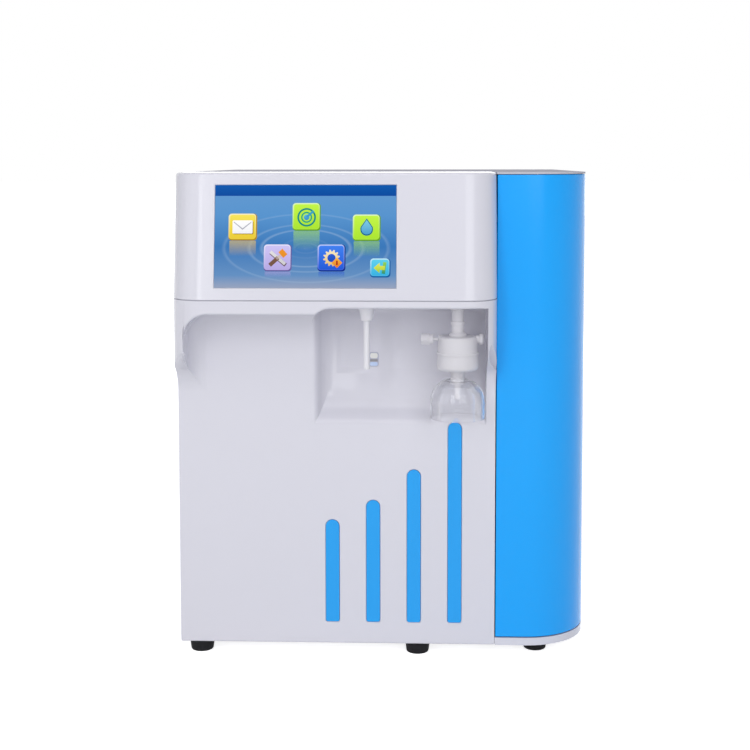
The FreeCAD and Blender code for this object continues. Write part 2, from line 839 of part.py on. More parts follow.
def build_head():
    """The screen head, its cover glass and the display module behind it."""
    opening = face_box("screen_left - fit_gap", "screen_lift - fit_gap", "-wall",
                       "screen_width + 2 * fit_gap", f"{SCREEN_HEIGHT} + 2 * fit_gap", "3 * wall")
    node("head_shell", cut(head_form("0"), head_form("wall"), opening))
    glass = face_box("screen_left", "screen_lift", "wall - glass_thickness",
                     "screen_width", SCREEN_HEIGHT, "glass_thickness")
    node("screen_glass", glass)
    module = face_box("screen_left - module_border", "screen_lift - module_border", "wall",
                      "screen_width + 2 * module_border", f"{SCREEN_HEIGHT} + 2 * module_border",
                      "module_thickness")
    node("display_module", module)


def build_covers():
    """Top cover, left side panel and rear panel."""
    plate = prism("XY", [
        (LEFT, f"{HEAD_BACK} + seam_gap"),
        (f"{SEAM_X} + fit_gap", f"{HEAD_BACK} + seam_gap"),
        (f"{SEAM_X} + fit_gap", FRONT),
        (RIGHT, FRONT),
        (RIGHT, REAR),
        (LEFT, REAR),
    ], COVER_BOTTOM, "cover_thickness",
        rounds=[(3, "corner_radius"), (4, "small_corner"), (5, "small_corner")])
    boss = rod(HINGE_X, HINGE_Y, f"{COVER_BOTTOM} - fit_gap", "boss_radius", "fit_gap")
    pin_hole = rod(HINGE_X, HINGE_Y, f"{COVER_BOTTOM} - cut_margin", "pin_radius",
                   "2 * cut_margin + cover_thickness")
    sinks = [rod(across, depth, f"{TOP} - screw_head_height", "screw_head", "screw_head_height")
             for across, depth in cover_screw_places()]
    node("top_cover", cut(fuse(plate, boss), pin_hole, *sinks, *screw_shanks()))
    side = prism("YZ", [
        (f"{PANEL_BACK} + seam_gap", TRAY_TOP),
        (f"{REAR} - sheet_wall", TRAY_TOP),
        (f"{REAR} - sheet_wall", COVER_BOTTOM),
        (f"{HEAD_BACK} + seam_gap", COVER_BOTTOM),
        (f"{HEAD_BACK} + seam_gap", SEAM_Z),
        (f"{PANEL_BACK} + seam_gap", SEAM_Z),
    ], LEFT, "sheet_wall")
    node("left_side_panel", side)
    plain = box(LEFT, f"{REAR} - sheet_wall", TRAY_TOP, f"{REAR_EDGE} - {LEFT}", "sheet_wall",
                f"{COVER_BOTTOM} - {TRAY_TOP}")
    holes = [rod(across, f"{REAR} - 2 * sheet_wall", up, "port_radius + fit_gap", "3 * sheet_wall", "Y")
             for across, up in port_places()]
    window = box(f"{INLET_X} - inlet_body_width / 2 - fit_gap", f"{REAR} - 2 * sheet_wall",
                 f"{INLET_Z} - inlet_body_height / 2 - fit_gap", "inlet_body_width + 2 * fit_gap",
                 "3 * sheet_wall", "inlet_body_height + 2 * fit_gap")
    vent = rod(FAN_X, f"{REAR} - 2 * sheet_wall", FAN_Z, "fan_bore", "3 * sheet_wall", "Y")
    node("rear_panel", cut(plain, window, vent, *holes, *screw_shanks()))


def rear_screw_places():
    """Screws of the rear panel, into the rear uprights: low, middle and high."""
    left = f"{LEFT} + sheet_wall + post_inset + post_width / 2"
    right = f"{REAR_EDGE} - post_width / 2"
    low = f"{TRAY_TOP} + screw_inset"
    middle = f"({TRAY_TOP} + {COVER_BOTTOM}) / 2"
    high = f"{COVER_BOTTOM} - screw_inset"
    return [(across, up) for across in (left, right) for up in (low, middle, high)]


def cover_screw_places():
    """Screws of the top cover, one into the end of each upright."""
    return [(f"{across} + post_width / 2", f"{depth} + post_width / 2") for across, depth in post_places()]


def screw_shanks():
    """The shanks of all the screws, as pieces or as the tools that cut their holes."""
    rear = [rod(across, f"{REAR} - screw_length", up, "screw_shank", "screw_length", "Y")
            for across, up in rear_screw_places()]
    cover = [rod(across, depth, f"{TOP} - screw_length", "screw_shank", "screw_length")
             for across, depth in cover_screw_places()]
    return rear + cover


# ---------------------------------------------------------------- side door

def door_shell(thickness, start, height, inset="0"):
    """A strip of the door's plan: across the front, round the corner and along the side."""
    return prism("XY", [
        (DOOR_LEFT, f"{FRONT} + {inset}"),
        (f"{RIGHT} - {inset}", f"{FRONT} + {inset}"),
        (f"{RIGHT} - {inset}", HINGE_Y),
        (f"{RIGHT} - {thickness}", HINGE_Y),
        (f"{RIGHT} - {thickness}", f"{FRONT} + {thickness}"),
        (DOOR_LEFT, f"{FRONT} + {thickness}"),
    ], start, height, rounds=[(1, f"corner_radius - {inset}"), (4, f"corner_radius - {thickness}")])


def build_door():
    """The curved side door with its ribs, hinge column, pins and magnetic catches."""
    height = f"{DOOR_TOP} - {DOOR_BOTTOM}"
    skin = door_shell("wall", DOOR_BOTTOM, height)
    low_rib = door_shell("door_rib", DOOR_BOTTOM, "wall")
    high_rib = door_shell("door_rib", f"{DOOR_TOP} - wall", "wall")
    flange = box(DOOR_LEFT, FRONT, DOOR_BOTTOM, "wall", "door_flange", height)
    column = rod(HINGE_X, HINGE_Y, DOOR_BOTTOM, "hinge_radius", height)
    bore = rod(HINGE_X, HINGE_Y, f"{DOOR_BOTTOM} - cut_margin", "pin_radius + running_gap",
               f"{height} + 2 * cut_margin")
    node("side_door", cut(fuse(skin, low_rib, high_rib, flange, column), bore))
    low_pin = rod(HINGE_X, HINGE_Y, TRAY_FLOOR, "pin_radius", f"{DOOR_BOTTOM} + pin_reach - {TRAY_FLOOR}")
    high_pin = rod(HINGE_X, HINGE_Y, f"{DOOR_TOP} - pin_reach", "pin_radius",
                   f"{TOP} - {DOOR_TOP} + pin_reach")
    node("hinge_pins", group(low_pin, high_pin), solids=2)
    strikes = []
    magnets = []
    for middle in ("foot_height + low_catch", f"{TOP} - high_catch"):
        foot = f"{middle} - magnet_length / 2"
        plate_y = f"{FRONT} + door_flange"
        strikes.append(box(DOOR_LEFT, plate_y, foot, "magnet_width", "strike_thickness", "magnet_length"))
        magnets.append(box(SEAM_X, f"{plate_y} + strike_thickness + fit_gap", foot,
                           "magnet_width", "magnet_depth", "magnet_length"))
    node("catch_strikes", group(*strikes), solids=2)
    node("catch_magnets", group(*magnets), solids=2)


# ---------------------------------------------------------------- outlet and final filter

def build_outlet():
    """The dispensing nozzle's collar and tube, and the small badge behind the tip."""
    tube_bottom = f"{NICHE_TOP} - spout_drop"
    collar = cone(NOZZLE_X, OUTLET_Y, f"{NICHE_TOP} - collar_length", "collar_tip_radius",
                  "collar_radius", "collar_length")
    sleeve = rod(NOZZLE_X, OUTLET_Y, tube_bottom, "spout_shank", "spout_drop")
    node("nozzle_collar", cut(collar, sleeve))
    spout_length = "spout_drop + spout_tail"
    free_end = rod(NOZZLE_X, OUTLET_Y, tube_bottom, "spout_radius",
                   "spout_drop - collar_length - spout_shoulder")
    shank = rod(NOZZLE_X, OUTLET_Y, tube_bottom, "spout_shank", spout_length)
    bore = rod(NOZZLE_X, OUTLET_Y, tube_bottom, "spout_bore", spout_length)
    node("spout_tube", cut(fuse(free_end, shank), bore))
    slope = f"niche_slant / ({NICHE_TOP} - {BEND_Z})"
    depth = f"{BEND_Y} + {slope} * badge_above_bend"
    badge = doc.addObject("Part::Box", "badge")
    bind(badge, "Length", "badge_width")
    bind(badge, "Width", "badge_thickness")
    bind(badge, "Height", "badge_height")
    place(badge, f"{SEAM_X} - badge_from_seam", f"{depth} - badge_thickness / cos(atan({slope}))",
          f"{BEND_Z} + badge_above_bend", turn=Rotation(Vector(-1, 0, 0), number(f"atan({slope})")))
    bind(badge, "Placement.Rotation.Angle", f"atan({slope})")
    node("outlet_badge", badge)


def build_filter():
    """The final filter: fitting, capsule, pleated membrane, vent, drain, neck and bell."""
    stem = turned([
        ("neck_bore", "0"), ("stem_radius", "0"), ("stem_radius", "stem_drop"),
        ("neck_radius / 2", "stem_drop"), ("neck_radius / 2", "stem_drop + 2 * wall"),
        ("neck_bore", "stem_drop + 2 * wall"),
    ], FILTER_X, OUTLET_Y, STEM_BOTTOM)
    node("filter_inlet_fitting", stem)
    inner_top = "capsule_length - capsule_wall"
    shell = turned([
        ("neck_bore", "0"), ("capsule_bottom_radius", "0"), ("capsule_top_radius", "capsule_length"),
        ("neck_bore", "capsule_length"), ("neck_bore", inner_top),
        ("capsule_top_radius - capsule_wall", inner_top),
        ("capsule_bottom_radius - capsule_wall", "capsule_wall"), ("neck_bore", "capsule_wall"),
    ], FILTER_X, OUTLET_Y, CAPSULE_BOTTOM, rounds=[(1, "capsule_wall * 2"), (2, "capsule_wall * 1.5")])
    vent_z = f"({CAPSULE_BOTTOM} + capsule_length - vent_lift)"
    vent_hole = rod(f"{FILTER_X} - capsule_top_radius - vent_length", OUTLET_Y, vent_z,
                    "vent_pin_radius", "vent_length + 2 * capsule_wall", "X")
    vent_boss = rod(f"{FILTER_X} - capsule_top_radius - vent_length", OUTLET_Y, vent_z,
                    "vent_radius", "vent_length + capsule_wall / 2", "X")
    drain = rod(f"{FILTER_X} + capsule_top_radius - capsule_wall / 2", OUTLET_Y, vent_z,
                "vent_radius", "drain_boss + capsule_wall / 2", "X")
    node("filter_capsule", cut(fuse(shell, vent_boss, drain), vent_hole))
    cap_start = f"{FILTER_X} - capsule_top_radius - vent_length - fit_gap - vent_cap_length"
    knob = rod(cap_start, OUTLET_Y, vent_z, "vent_cap_radius", "vent_cap_length", "X")
    wing = box(cap_start, f"{OUTLET_Y} - vent_wing_span / 2", f"{vent_z} - capsule_wall / 2",
               "vent_wing_length", "vent_wing_span", "capsule_wall")
    pin = rod(f"{cap_start} + vent_cap_length", OUTLET_Y, vent_z,
              "vent_pin_radius - running_gap", "vent_length", "X")
    node("vent_cap", fuse(knob, wing, pin))
    drain_end = f"{FILTER_X} + capsule_top_radius + drain_boss"
    node("drain_plug", rod(drain_end, OUTLET_Y, vent_z, "vent_cap_radius", "drain_length", "X"))
    pleats = turned([
        ("membrane_core", "0"), ("membrane_radius", "0"),
        ("membrane_radius", "capsule_length - 2 * capsule_wall"),
        ("membrane_core", "capsule_length - 2 * capsule_wall"),
    ], FILTER_X, OUTLET_Y, f"{CAPSULE_BOTTOM} + capsule_wall")
    node("filter_membrane", pleats)
    tip = "-stub_length - neck_seat"
    neck = turned([
        ("neck_bore", tip), ("stub_radius", tip), ("stub_radius", "-neck_seat"),
        ("neck_radius", "-neck_seat"), ("neck_radius", f"{CAPSULE_BOTTOM} - {BELL_TOP}"),
        ("neck_bore", f"{CAPSULE_BOTTOM} - {BELL_TOP}"),
    ], FILTER_X, OUTLET_Y, BELL_TOP)
    node("filter_outlet_neck", neck)
    bell = turned([
        ("bell_radius - bell_wall", "0"), ("bell_radius", "0"), ("bell_radius", "bell_skirt"),
        ("bell_shoulder_radius", "bell_shoulder"), ("neck_radius", "bell_height"),
        ("neck_radius", "bell_height - bell_seat"),
        ("bell_shoulder_radius - bell_slant", "bell_shoulder - bell_slant"),
        ("bell_radius - bell_wall", "bell_skirt - bell_slant / 2"),
    ], FILTER_X, OUTLET_Y, BELL_BOTTOM,
        rounds=[(2, "bell_skirt_round"), (3, "bell_crown_round")])
    node("filling_bell", bell)


# ---------------------------------------------------------------- cartridge bay

def cartridge_y(order):
    """The depth of one cartridge's axis, counted from the front."""
    return f"({ROW_MIDDLE} - {ROW_HALF} + cartridge_pitch * {order})"


def build_cartridges():
    """Four treatment cartridges, their clips and the quick-connect heads on their necks."""
    clips = []
    heads = []
    for order, name in enumerate(CARTRIDGES):
        depth = cartridge_y(order)
        body = turned([
            ("0", "0"), ("cartridge_radius", "0"), ("cartridge_radius", CARTRIDGE_LENGTH),
            ("cartridge_neck", CARTRIDGE_LENGTH),
            ("cartridge_neck", f"{CARTRIDGE_LENGTH} + neck_height"),
            ("0", f"{CARTRIDGE_LENGTH} + neck_height"),
        ], CARTRIDGE_X, depth, TRAY_FLOOR, rounds=[(1, "cartridge_edge"), (2, "cartridge_edge")])
        node(name, body)
        cap = rod(CARTRIDGE_X, depth, f"{ARM_Z} - head_cap_height / 2", "head_cap_radius",
                  "head_cap_height")
        arm = rod(PARTITION_X, depth, ARM_Z, "arm_radius", f"{CARTRIDGE_X} - {PARTITION_X}", "X")
        heads.append(fuse(cap, arm))
        clips.extend(cartridge_clip(depth, lift)
                     for lift in ("low_clip", f"{CARTRIDGE_LENGTH} - high_clip"))
    node("cartridge_clips", group(*clips), solids=2 * len(CARTRIDGES))
    node("cartridge_heads", group(*heads), solids=len(CARTRIDGES))


def cartridge_clip(depth, lift):
    """A sprung plastic clip on the partition that grips a cartridge from behind."""
    foot = f"{TRAY_FLOOR} + {lift}"
    ring = rod(CARTRIDGE_X, depth, foot, "cartridge_radius + clip_thickness", "clip_height")
    block = box(PARTITION_RIGHT, f"{depth} - clip_height", foot,
                f"{CARTRIDGE_STANDOFF} + cartridge_radius / 2", "2 * clip_height", "clip_height")
    hollow = rod(CARTRIDGE_X, depth, foot, "cartridge_radius", "clip_height")
    mouth = box(f"{CARTRIDGE_X} + cartridge_radius / 3", f"{depth} - 2 * cartridge_radius", foot,
                "2 * cartridge_radius", "4 * cartridge_radius", "clip_height")
    return cut(fuse(ring, block), hollow, mouth)


# ---------------------------------------------------------------- pumps

def build_booster_pump():
    """A diaphragm booster pump: valve block, motor can and the rotor with its cam."""
    block_front = f"({FRONT} + pump_from_front)"
    motor_front = f"({block_front} + pump_block_depth)"
    half = "pump_block / 2"
    block = box(f"{PUMP_X} - {half}", block_front, f"{PUMP_Z} - {half}", "pump_block",
                "pump_block_depth", "pump_block")
    chamber = rod(PUMP_X, f"{motor_front} - cam_length - 2 * motor_wall", PUMP_Z,
                  "cam_radius + cam_throw + motor_wall", "cam_length + 2 * motor_wall", "Y")
    foot = box(f"{PUMP_X} - {half}", block_front, TRAY_FLOOR, "pump_block", "pump_block_depth",
               f"{PUMP_Z} - {half} - {TRAY_FLOOR}")
    node("booster_pump_head", cut(fuse(block, foot), chamber))
    can = rod(PUMP_X, motor_front, PUMP_Z, "motor_radius", "motor_length", "Y")
    cradle = box(f"{PUMP_X} - cradle_width / 2", f"{motor_front} + motor_length / 3", TRAY_FLOOR,
                 "cradle_width", "motor_length / 3", "pump_axis_height")
    hollow = rod(PUMP_X, f"{motor_front} + motor_wall", PUMP_Z, "motor_radius - motor_wall",
                 "motor_length - 2 * motor_wall", "Y")
    bearing = rod(PUMP_X, motor_front, PUMP_Z, "shaft_radius + running_gap",
                  "motor_length - motor_wall / 2", "Y")
    node("booster_pump_motor", cut(fuse(can, cradle), hollow, bearing))
    shaft = rod(PUMP_X, f"{motor_front} - cam_length", PUMP_Z, "shaft_radius",
                "cam_length + motor_length - motor_wall", "Y")
    core = rod(PUMP_X, f"{motor_front} + 3 * motor_wall", PUMP_Z, "rotor_radius",
               "motor_length - 6 * motor_wall", "Y")
    cam = rod(f"{PUMP_X} + cam_throw", f"{motor_front} - cam_length", PUMP_Z, "cam_radius",
              "cam_length - motor_wall", "Y")
    node("booster_pump_rotor", fuse(shaft, core, cam))


def build_circulation_pump():
    """A sealed circulation pump with its impeller on a fixed-end shaft."""
    front = f"({FRONT} + pump_from_front)"
    can = rod(SECOND_PUMP_X, front, PUMP_Z, "second_pump_radius", "second_pump_length", "Y")
    cradle = box(f"{SECOND_PUMP_X} - cradle_width / 2", f"{front} + second_pump_length / 3", TRAY_FLOOR,
                 "cradle_width", "second_pump_length / 3", "pump_axis_height")
    room_start = f"{front} + wall"
    room = rod(SECOND_PUMP_X, room_start, PUMP_Z, "impeller_radius + 2 * motor_wall",
               "impeller_length + 2 * wall", "Y")
    shaft_hole = rod(SECOND_PUMP_X, room_start, PUMP_Z, "shaft_radius + running_gap",
                     "second_pump_length - 2 * wall", "Y")
    node("circulation_pump_housing", cut(fuse(can, cradle), room, shaft_hole))
    shaft_length = "second_pump_length - 4 * wall"
    shaft = rod(SECOND_PUMP_X, f"{room_start} + wall", PUMP_Z, "shaft_radius", shaft_length, "Y")
    disc = rod(SECOND_PUMP_X, f"{room_start} + wall", PUMP_Z, "impeller_radius", "wall", "Y")
    blades = []
    for order in range(int(number("impeller_blades"))):
        blade = doc.addObject("Part::Box", "blade")
        bind(blade, "Length", "impeller_radius - shaft_radius / 2 - cut_margin")
        bind(blade, "Width", "impeller_length - wall")
        bind(blade, "Height", "motor_wall / 2")
        turn = f"{order} * 360 / impeller_blades"
        place(blade, f"{SECOND_PUMP_X} + shaft_radius / 2 * cos({turn})",
              f"{room_start} + 2 * wall", f"{PUMP_Z} - shaft_radius / 2 * sin({turn})",
              turn=Rotation(Vector(0, 1, 0), number(turn)))
        bind(blade, "Placement.Rotation.Angle", turn)
        blades.append(blade)
    node("circulation_pump_impeller", fuse(shaft, disc, *blades))


# ---------------------------------------------------------------- upper bay

def build_reactor():
    """The ultraviolet reactor: a steel tube on two saddles with its lamp inside."""
    across = f"({LEFT} + reactor_from_left + reactor_radius)"
    start = f"({REAR} - reactor_from_rear - reactor_length)"
    up = f"({SHELF_TOP} + reactor_lift)"
    barrel = rod(across, start, up, "reactor_radius", "reactor_length", "Y")
    hollow = rod(across, f"{start} + 2 * reactor_wall", up, "reactor_radius - reactor_wall",
                 "reactor_length - 4 * reactor_wall", "Y")
    lamp_hole = rod(across, start, up, "lamp_radius", "reactor_length", "Y")
    saddles = [box(f"{across} - saddle_width", f"{start} + {share} * reactor_length - saddle_width / 2",
                   SHELF_TOP, "2 * saddle_width", "saddle_width", "reactor_lift")
               for share in ("0.2", "0.8")]
    node("ultraviolet_reactor", cut(fuse(barrel, *saddles), hollow, lamp_hole))
    lamp = rod(across, start, up, "lamp_radius", "reactor_length + saddle_width", "Y")
    node("ultraviolet_lamp", lamp)


def build_electrics():
    """The power supply on the shelf and the control board on the partition."""
    supply = box(f"{LEFT} + supply_from_left + reactor_radius", f"{HEAD_BACK} + screw_inset", SHELF_TOP,
                 "supply_width", "supply_length", "supply_height")
    node("power_supply", supply)
    left = f"({PARTITION_X} - standoff_length - board_thickness)"
    front = f"({HEAD_BACK} + 2 * screw_inset)"
    foot = f"({SHELF_TOP} + control_lift)"
    height = f"({ARM_Z} - control_below_arms - {foot})"
    board = box(left, front, foot, "board_thickness", "control_length", height)
    legs = [rod(f"{left} + board_thickness", f"{front} + {along}", f"{foot} + {up}", "standoff_radius",
                "standoff_length", "X")
            for along in ("screw_inset", "control_length - screw_inset")
            for up in ("screw_inset", f"{height} - screw_inset")]
    chips = [box(f"{left} - chip_height", f"{front} + {along} * control_length",
                 f"{foot} + {up} * {height}", "chip_height", "chip_length", "chip_rise")
             for along in ("0.08", "0.4", "0.72") for up in ("0.1", "0.7")]
    node("control_board", fuse(board, *legs, *chips))


# ---------------------------------------------------------------- valve, cell and tubes

def build_valve():
    """The feed solenoid valve and its sprung plunger."""
    across = VALVE_X
    depth = f"({REAR} - valve_from_rear)"
    half = "valve_width / 2"
    body = box(f"{across} - {half}", f"{depth} - {half}", TRAY_FLOOR, "valve_width", "valve_width",
               "valve_height")
    coil = box(f"{across} - {half} + wall / 2", f"{depth} - {half} + wall / 2",
               f"{TRAY_FLOOR} + valve_height", "valve_width - wall", "valve_width - wall", "coil_height")
    plunger_foot = f"({TRAY_FLOOR} + valve_height - wall)"
    well = rod(across, depth, plunger_foot, "plunger_radius + running_gap",
               "plunger_length + plunger_travel + fit_gap")
    node("feed_valve", cut(fuse(body, coil), well))
    node("valve_plunger", rod(across, depth, plunger_foot, "plunger_radius", "plunger_length"))


def build_cell():
    """The resistivity cell that reads the product water."""
    across = VALVE_X
    depth = f"({REAR} - cell_from_rear - valve_width)"
    block = box(f"{across} - valve_width / 2", f"{depth} - valve_width / 2", TRAY_FLOOR, "valve_width",
                "valve_width", "valve_height")
    probe = turned([
        ("0", "0"), ("cell_radius", "0"), ("cell_radius", "cell_barrel"),
        ("cell_radius / 2", "cell_barrel + cell_taper"), ("cell_radius / 2", "cell_length"),
        ("0", "cell_length"),
    ], across, depth, f"{TRAY_FLOOR} + valve_height")
    node("resistivity_cell", fuse(block, probe))


def port_places():
    """The rear ports: feed, drain and storage tank, in a row low on the rear panel."""
    return [(f"({LEFT} + port_first + port_pitch * {order})", "(foot_height + port_lift)")
            for order in range(int(number("port_count")))]


def build_tubes():
    """The tubes between the ports, the valve, the pumps, the bay, the reactor and the outlet."""
    tail = f"({REAR} - sheet_wall - port_tail)"
    (feed_x, port_z), (drain_x, _), (tank_x, _) = port_places()
    valve_left = f"({VALVE_X} - valve_width / 2)"
    valve_right = f"({VALVE_X} + valve_width / 2)"
    valve_y = f"({REAR} - valve_from_rear)"
    valve_z = f"({TRAY_FLOOR} + valve_height / 2)"
    cell_y = f"({REAR} - cell_from_rear - valve_width)"
    rise_x = f"({valve_right} + 1.5 * tube_bend)"
    pump_top = f"({PUMP_Z} + pump_block / 2)"
    pump_rear = f"({FRONT} + pump_from_front + second_pump_length)"
    front_rise = f"(({NICHE_BACK} + {HEAD_BACK}) / 2 + rise_shift)"
    ceiling = f"({NICHE_TOP} + wall + 1.2 * tube_radius)"
    high = f"({ARM_Z} + 2.6 * tube_bend)"
    fitting_top = f"({NICHE_TOP} + 2 * wall)"
    reactor_x = f"({LEFT} + reactor_from_left + reactor_radius)"
    reactor_top = f"({SHELF_TOP} + reactor_lift + reactor_radius)"
    arms = [cartridge_y(order) for order in range(len(CARTRIDGES))]
    slot_x = f"({PARTITION_X} - tube_slot * 0.75)"
    from_feed = tube([
        (feed_x, tail, port_z), (feed_x, f"{valve_y} + 2 * tube_bend", port_z),
        (feed_x, valve_y, valve_z), (valve_left, valve_y, valve_z),
    ])
    to_pretreatment = tube([
        (valve_right, valve_y, valve_z), (rise_x, valve_y, valve_z),
        (rise_x, valve_y, f"{pump_top} + 6 * tube_bend"), (rise_x, arms[0], f"{pump_top} + 6 * tube_bend"),
        (rise_x, arms[0], ARM_Z), (PARTITION_X, arms[0], ARM_Z),
    ])
    to_membrane = tube([
        (PUMP_X, PUMP_Y, pump_top), (PUMP_X, PUMP_Y, f"{pump_top} + 3 * tube_bend"),
        (slot_x, PUMP_Y, f"{pump_top} + 3 * tube_bend"), (slot_x, PUMP_Y, ARM_Z),
        (slot_x, arms[1], ARM_Z), (PARTITION_X, arms[1], ARM_Z),
    ])
    from_tank = tube([
        (tank_x, tail, port_z), (tank_x, f"{tail} - 5 * tube_bend", port_z),
        (SECOND_PUMP_X, f"{pump_rear} + 5 * tube_bend", PUMP_Z), (SECOND_PUMP_X, pump_rear, PUMP_Z),
    ])
    to_drain = tube([
        (drain_x, tail, port_z), (drain_x, f"{cell_y} + 3 * tube_bend", port_z),
        (f"{drain_x} + 3 * tube_bend", cell_y, valve_z), (valve_left, cell_y, valve_z),
    ])
    to_spout = tube([
        (VALVE_X, f"{cell_y} - valve_width / 2", valve_z), (VALVE_X, f"{PUMP_Y} + 2 * tube_bend", valve_z),
        (VALVE_X, front_rise, f"{pump_top} - tube_bend"), (VALVE_X, front_rise, ceiling),
        (NOZZLE_X, f"{OUTLET_Y} + 2.5 * tube_bend", ceiling),
        (NOZZLE_X, f"{OUTLET_Y} + spout_shank", ceiling),
    ])
    to_filter = tube([
        (FILTER_X, OUTLET_Y, fitting_top), (FILTER_X, OUTLET_Y, high), (FILTER_X, arms[2], high),
        (FILTER_X, arms[2], ARM_Z), (PARTITION_X, arms[2], ARM_Z),
    ])
    to_reactor = tube([
        (PARTITION_X, arms[3], ARM_Z), (reactor_x, arms[3], ARM_Z), (reactor_x, arms[3], reactor_top),
    ])
    tubes = [from_feed, to_pretreatment, to_membrane, from_tank, to_drain, to_spout, to_filter, to_reactor]
    node("internal_tubing", group(*tubes), solids=len(tubes))


# ---------------------------------------------------------------- rear connections

def build_ports():
    """Push-fit bulkhead ports on the rear panel, each with its release collet."""
    bodies = []
    for order, (across, up) in enumerate(port_places()):
        outside = "port_reach - collet_head - collet_travel - fit_gap"
        start = f"({REAR} - sheet_wall - port_tail)"
        tail = "sheet_wall + port_tail"
        bore = "collet_radius + running_gap"
        body = turned([
            ("tube_radius", "0"), ("port_radius", "0"), ("port_radius", tail),
            ("port_flange_radius", tail), ("port_flange_radius", f"{tail} + port_flange"),
            ("port_radius", f"{tail} + port_flange"), ("port_radius", f"{tail} + {outside}"),
            (bore, f"{tail} + {outside}"), (bore, f"{tail} + {outside} - collet_length"),
            ("tube_radius", f"{tail} + {outside} - collet_length"),
        ], across, start, up, axis="Y")
        bodies.append(body)
        inner_end = f"{REAR} + port_reach - collet_length + fit_gap"
        end = "collet_length - fit_gap"
        collet = turned([
            ("tube_hole", "0"), ("collet_radius", "0"), ("collet_radius", f"{end} - collet_head"),
            ("collet_head_radius", f"{end} - collet_head"), ("collet_head_radius", end), ("tube_hole", end),
        ], across, inner_end, up, axis="Y")
        node(f"port_collet_{order + 1}", collet)
    node("bulkhead_ports", group(*bodies), solids=len(bodies))


def build_inlet():
    """Mains inlet module: socket with three blades, fuse drawer and rocker switch."""
    half_width = "inlet_width / 2"
    half_height = "inlet_height / 2"
    flange = box(f"{INLET_X} - {half_width}", REAR, f"{INLET_Z} - {half_height}", "inlet_width",
                 "inlet_flange", "inlet_height")
    body = box(f"{INLET_X} - inlet_body_width / 2", f"{REAR} - inlet_body_depth",
               f"{INLET_Z} - inlet_body_height / 2", "inlet_body_width", "inlet_body_depth",
               "inlet_body_height")
    face = f"({REAR} + inlet_flange)"
    socket_z = f"({INLET_Z} - inlet_body_height / 2 + wall + socket_height / 2)"
    socket = box(f"{INLET_X} - socket_width / 2", f"{face} - socket_depth",
                 f"{socket_z} - socket_height / 2", "socket_width", "socket_depth", "socket_height")
    drawer_z = f"({socket_z} + socket_height / 2 + wall + drawer_height / 2)"
    slot = box(f"{INLET_X} - drawer_width / 2 - fit_gap", f"{face} - drawer_depth - fit_gap",
               f"{drawer_z} - drawer_height / 2 - fit_gap", "drawer_width + 2 * fit_gap",
               "drawer_depth + fit_gap", "drawer_height + 2 * fit_gap")
    rocker_z = f"({drawer_z} + drawer_height / 2 + wall + rocker_height / 2 + wall)"
    well = box(f"{INLET_X} - rocker_width / 2 - fit_gap", f"{face} - rocker_radius - 2 * wall",
               f"{rocker_z} - rocker_height / 2 - fit_gap", "rocker_width + 2 * fit_gap",
               "rocker_radius + 2 * wall", "rocker_height + 2 * fit_gap")
    blades = [box(f"{INLET_X} + {side} * blade_pitch - blade_width / 2", f"{face} - socket_depth",
                  f"{socket_z} + ({rise}) - blade_height / 2", "blade_width", "socket_depth - wall",
                  "blade_height")
              for side, rise in ((-1, "-blade_rise"), (0, "blade_rise"), (1, "-blade_rise"))]
    node("power_inlet", fuse(cut(fuse(flange, body), socket, slot, well), *blades))
    drawer = box(f"{INLET_X} - drawer_width / 2", f"{face} - drawer_depth",
                 f"{drawer_z} - drawer_height / 2", "drawer_width", "drawer_depth", "drawer_height")
    grip = box(f"{INLET_X} - drawer_width / 2", face, f"{drawer_z} + drawer_height / 4",
               "drawer_width", "wall / 2", "drawer_height / 4")
    node("fuse_drawer", fuse(drawer, grip))
    build_rocker(f"{face} - rocker_pivot", rocker_z)


def build_rocker(pivot_y, pivot_z):
    """The rocker: a barrel on its pivot with two slanted pads, at rest on its lower pad."""
    rocker = doc.addObject("Part::Cylinder", "rocker")
    bind(rocker, "Radius", "rocker_height / 2")
    bind(rocker, "Height", "rocker_width")
    place(rocker, f"{INLET_X} - rocker_width / 2", pivot_y, pivot_z, "X")
    keep = prism("YZ", [
        ("-rocker_radius / 2", "-rocker_height / 2"), ("rocker_pivot * 1.2", "-rocker_height / 2"),
        ("rocker_pivot / 3", "0"), ("rocker_pivot * 1.2", "rocker_height / 2"),
        ("-rocker_radius / 2", "rocker_height / 2"),
    ], "0", "rocker_width")
    keep.Placement = FreeCAD.Placement(Vector(), Rotation(Vector(1, 0, 0), number("rocker_tilt")))
    bind(keep, "Placement.Base.x", f"{INLET_X} - rocker_width / 2")
    bind(keep, "Placement.Base.y", pivot_y)
    bind(keep, "Placement.Base.z", pivot_z)
    bind(keep, "Placement.Rotation.Angle", "rocker_tilt")
    node("power_rocker", common(rocker, keep))


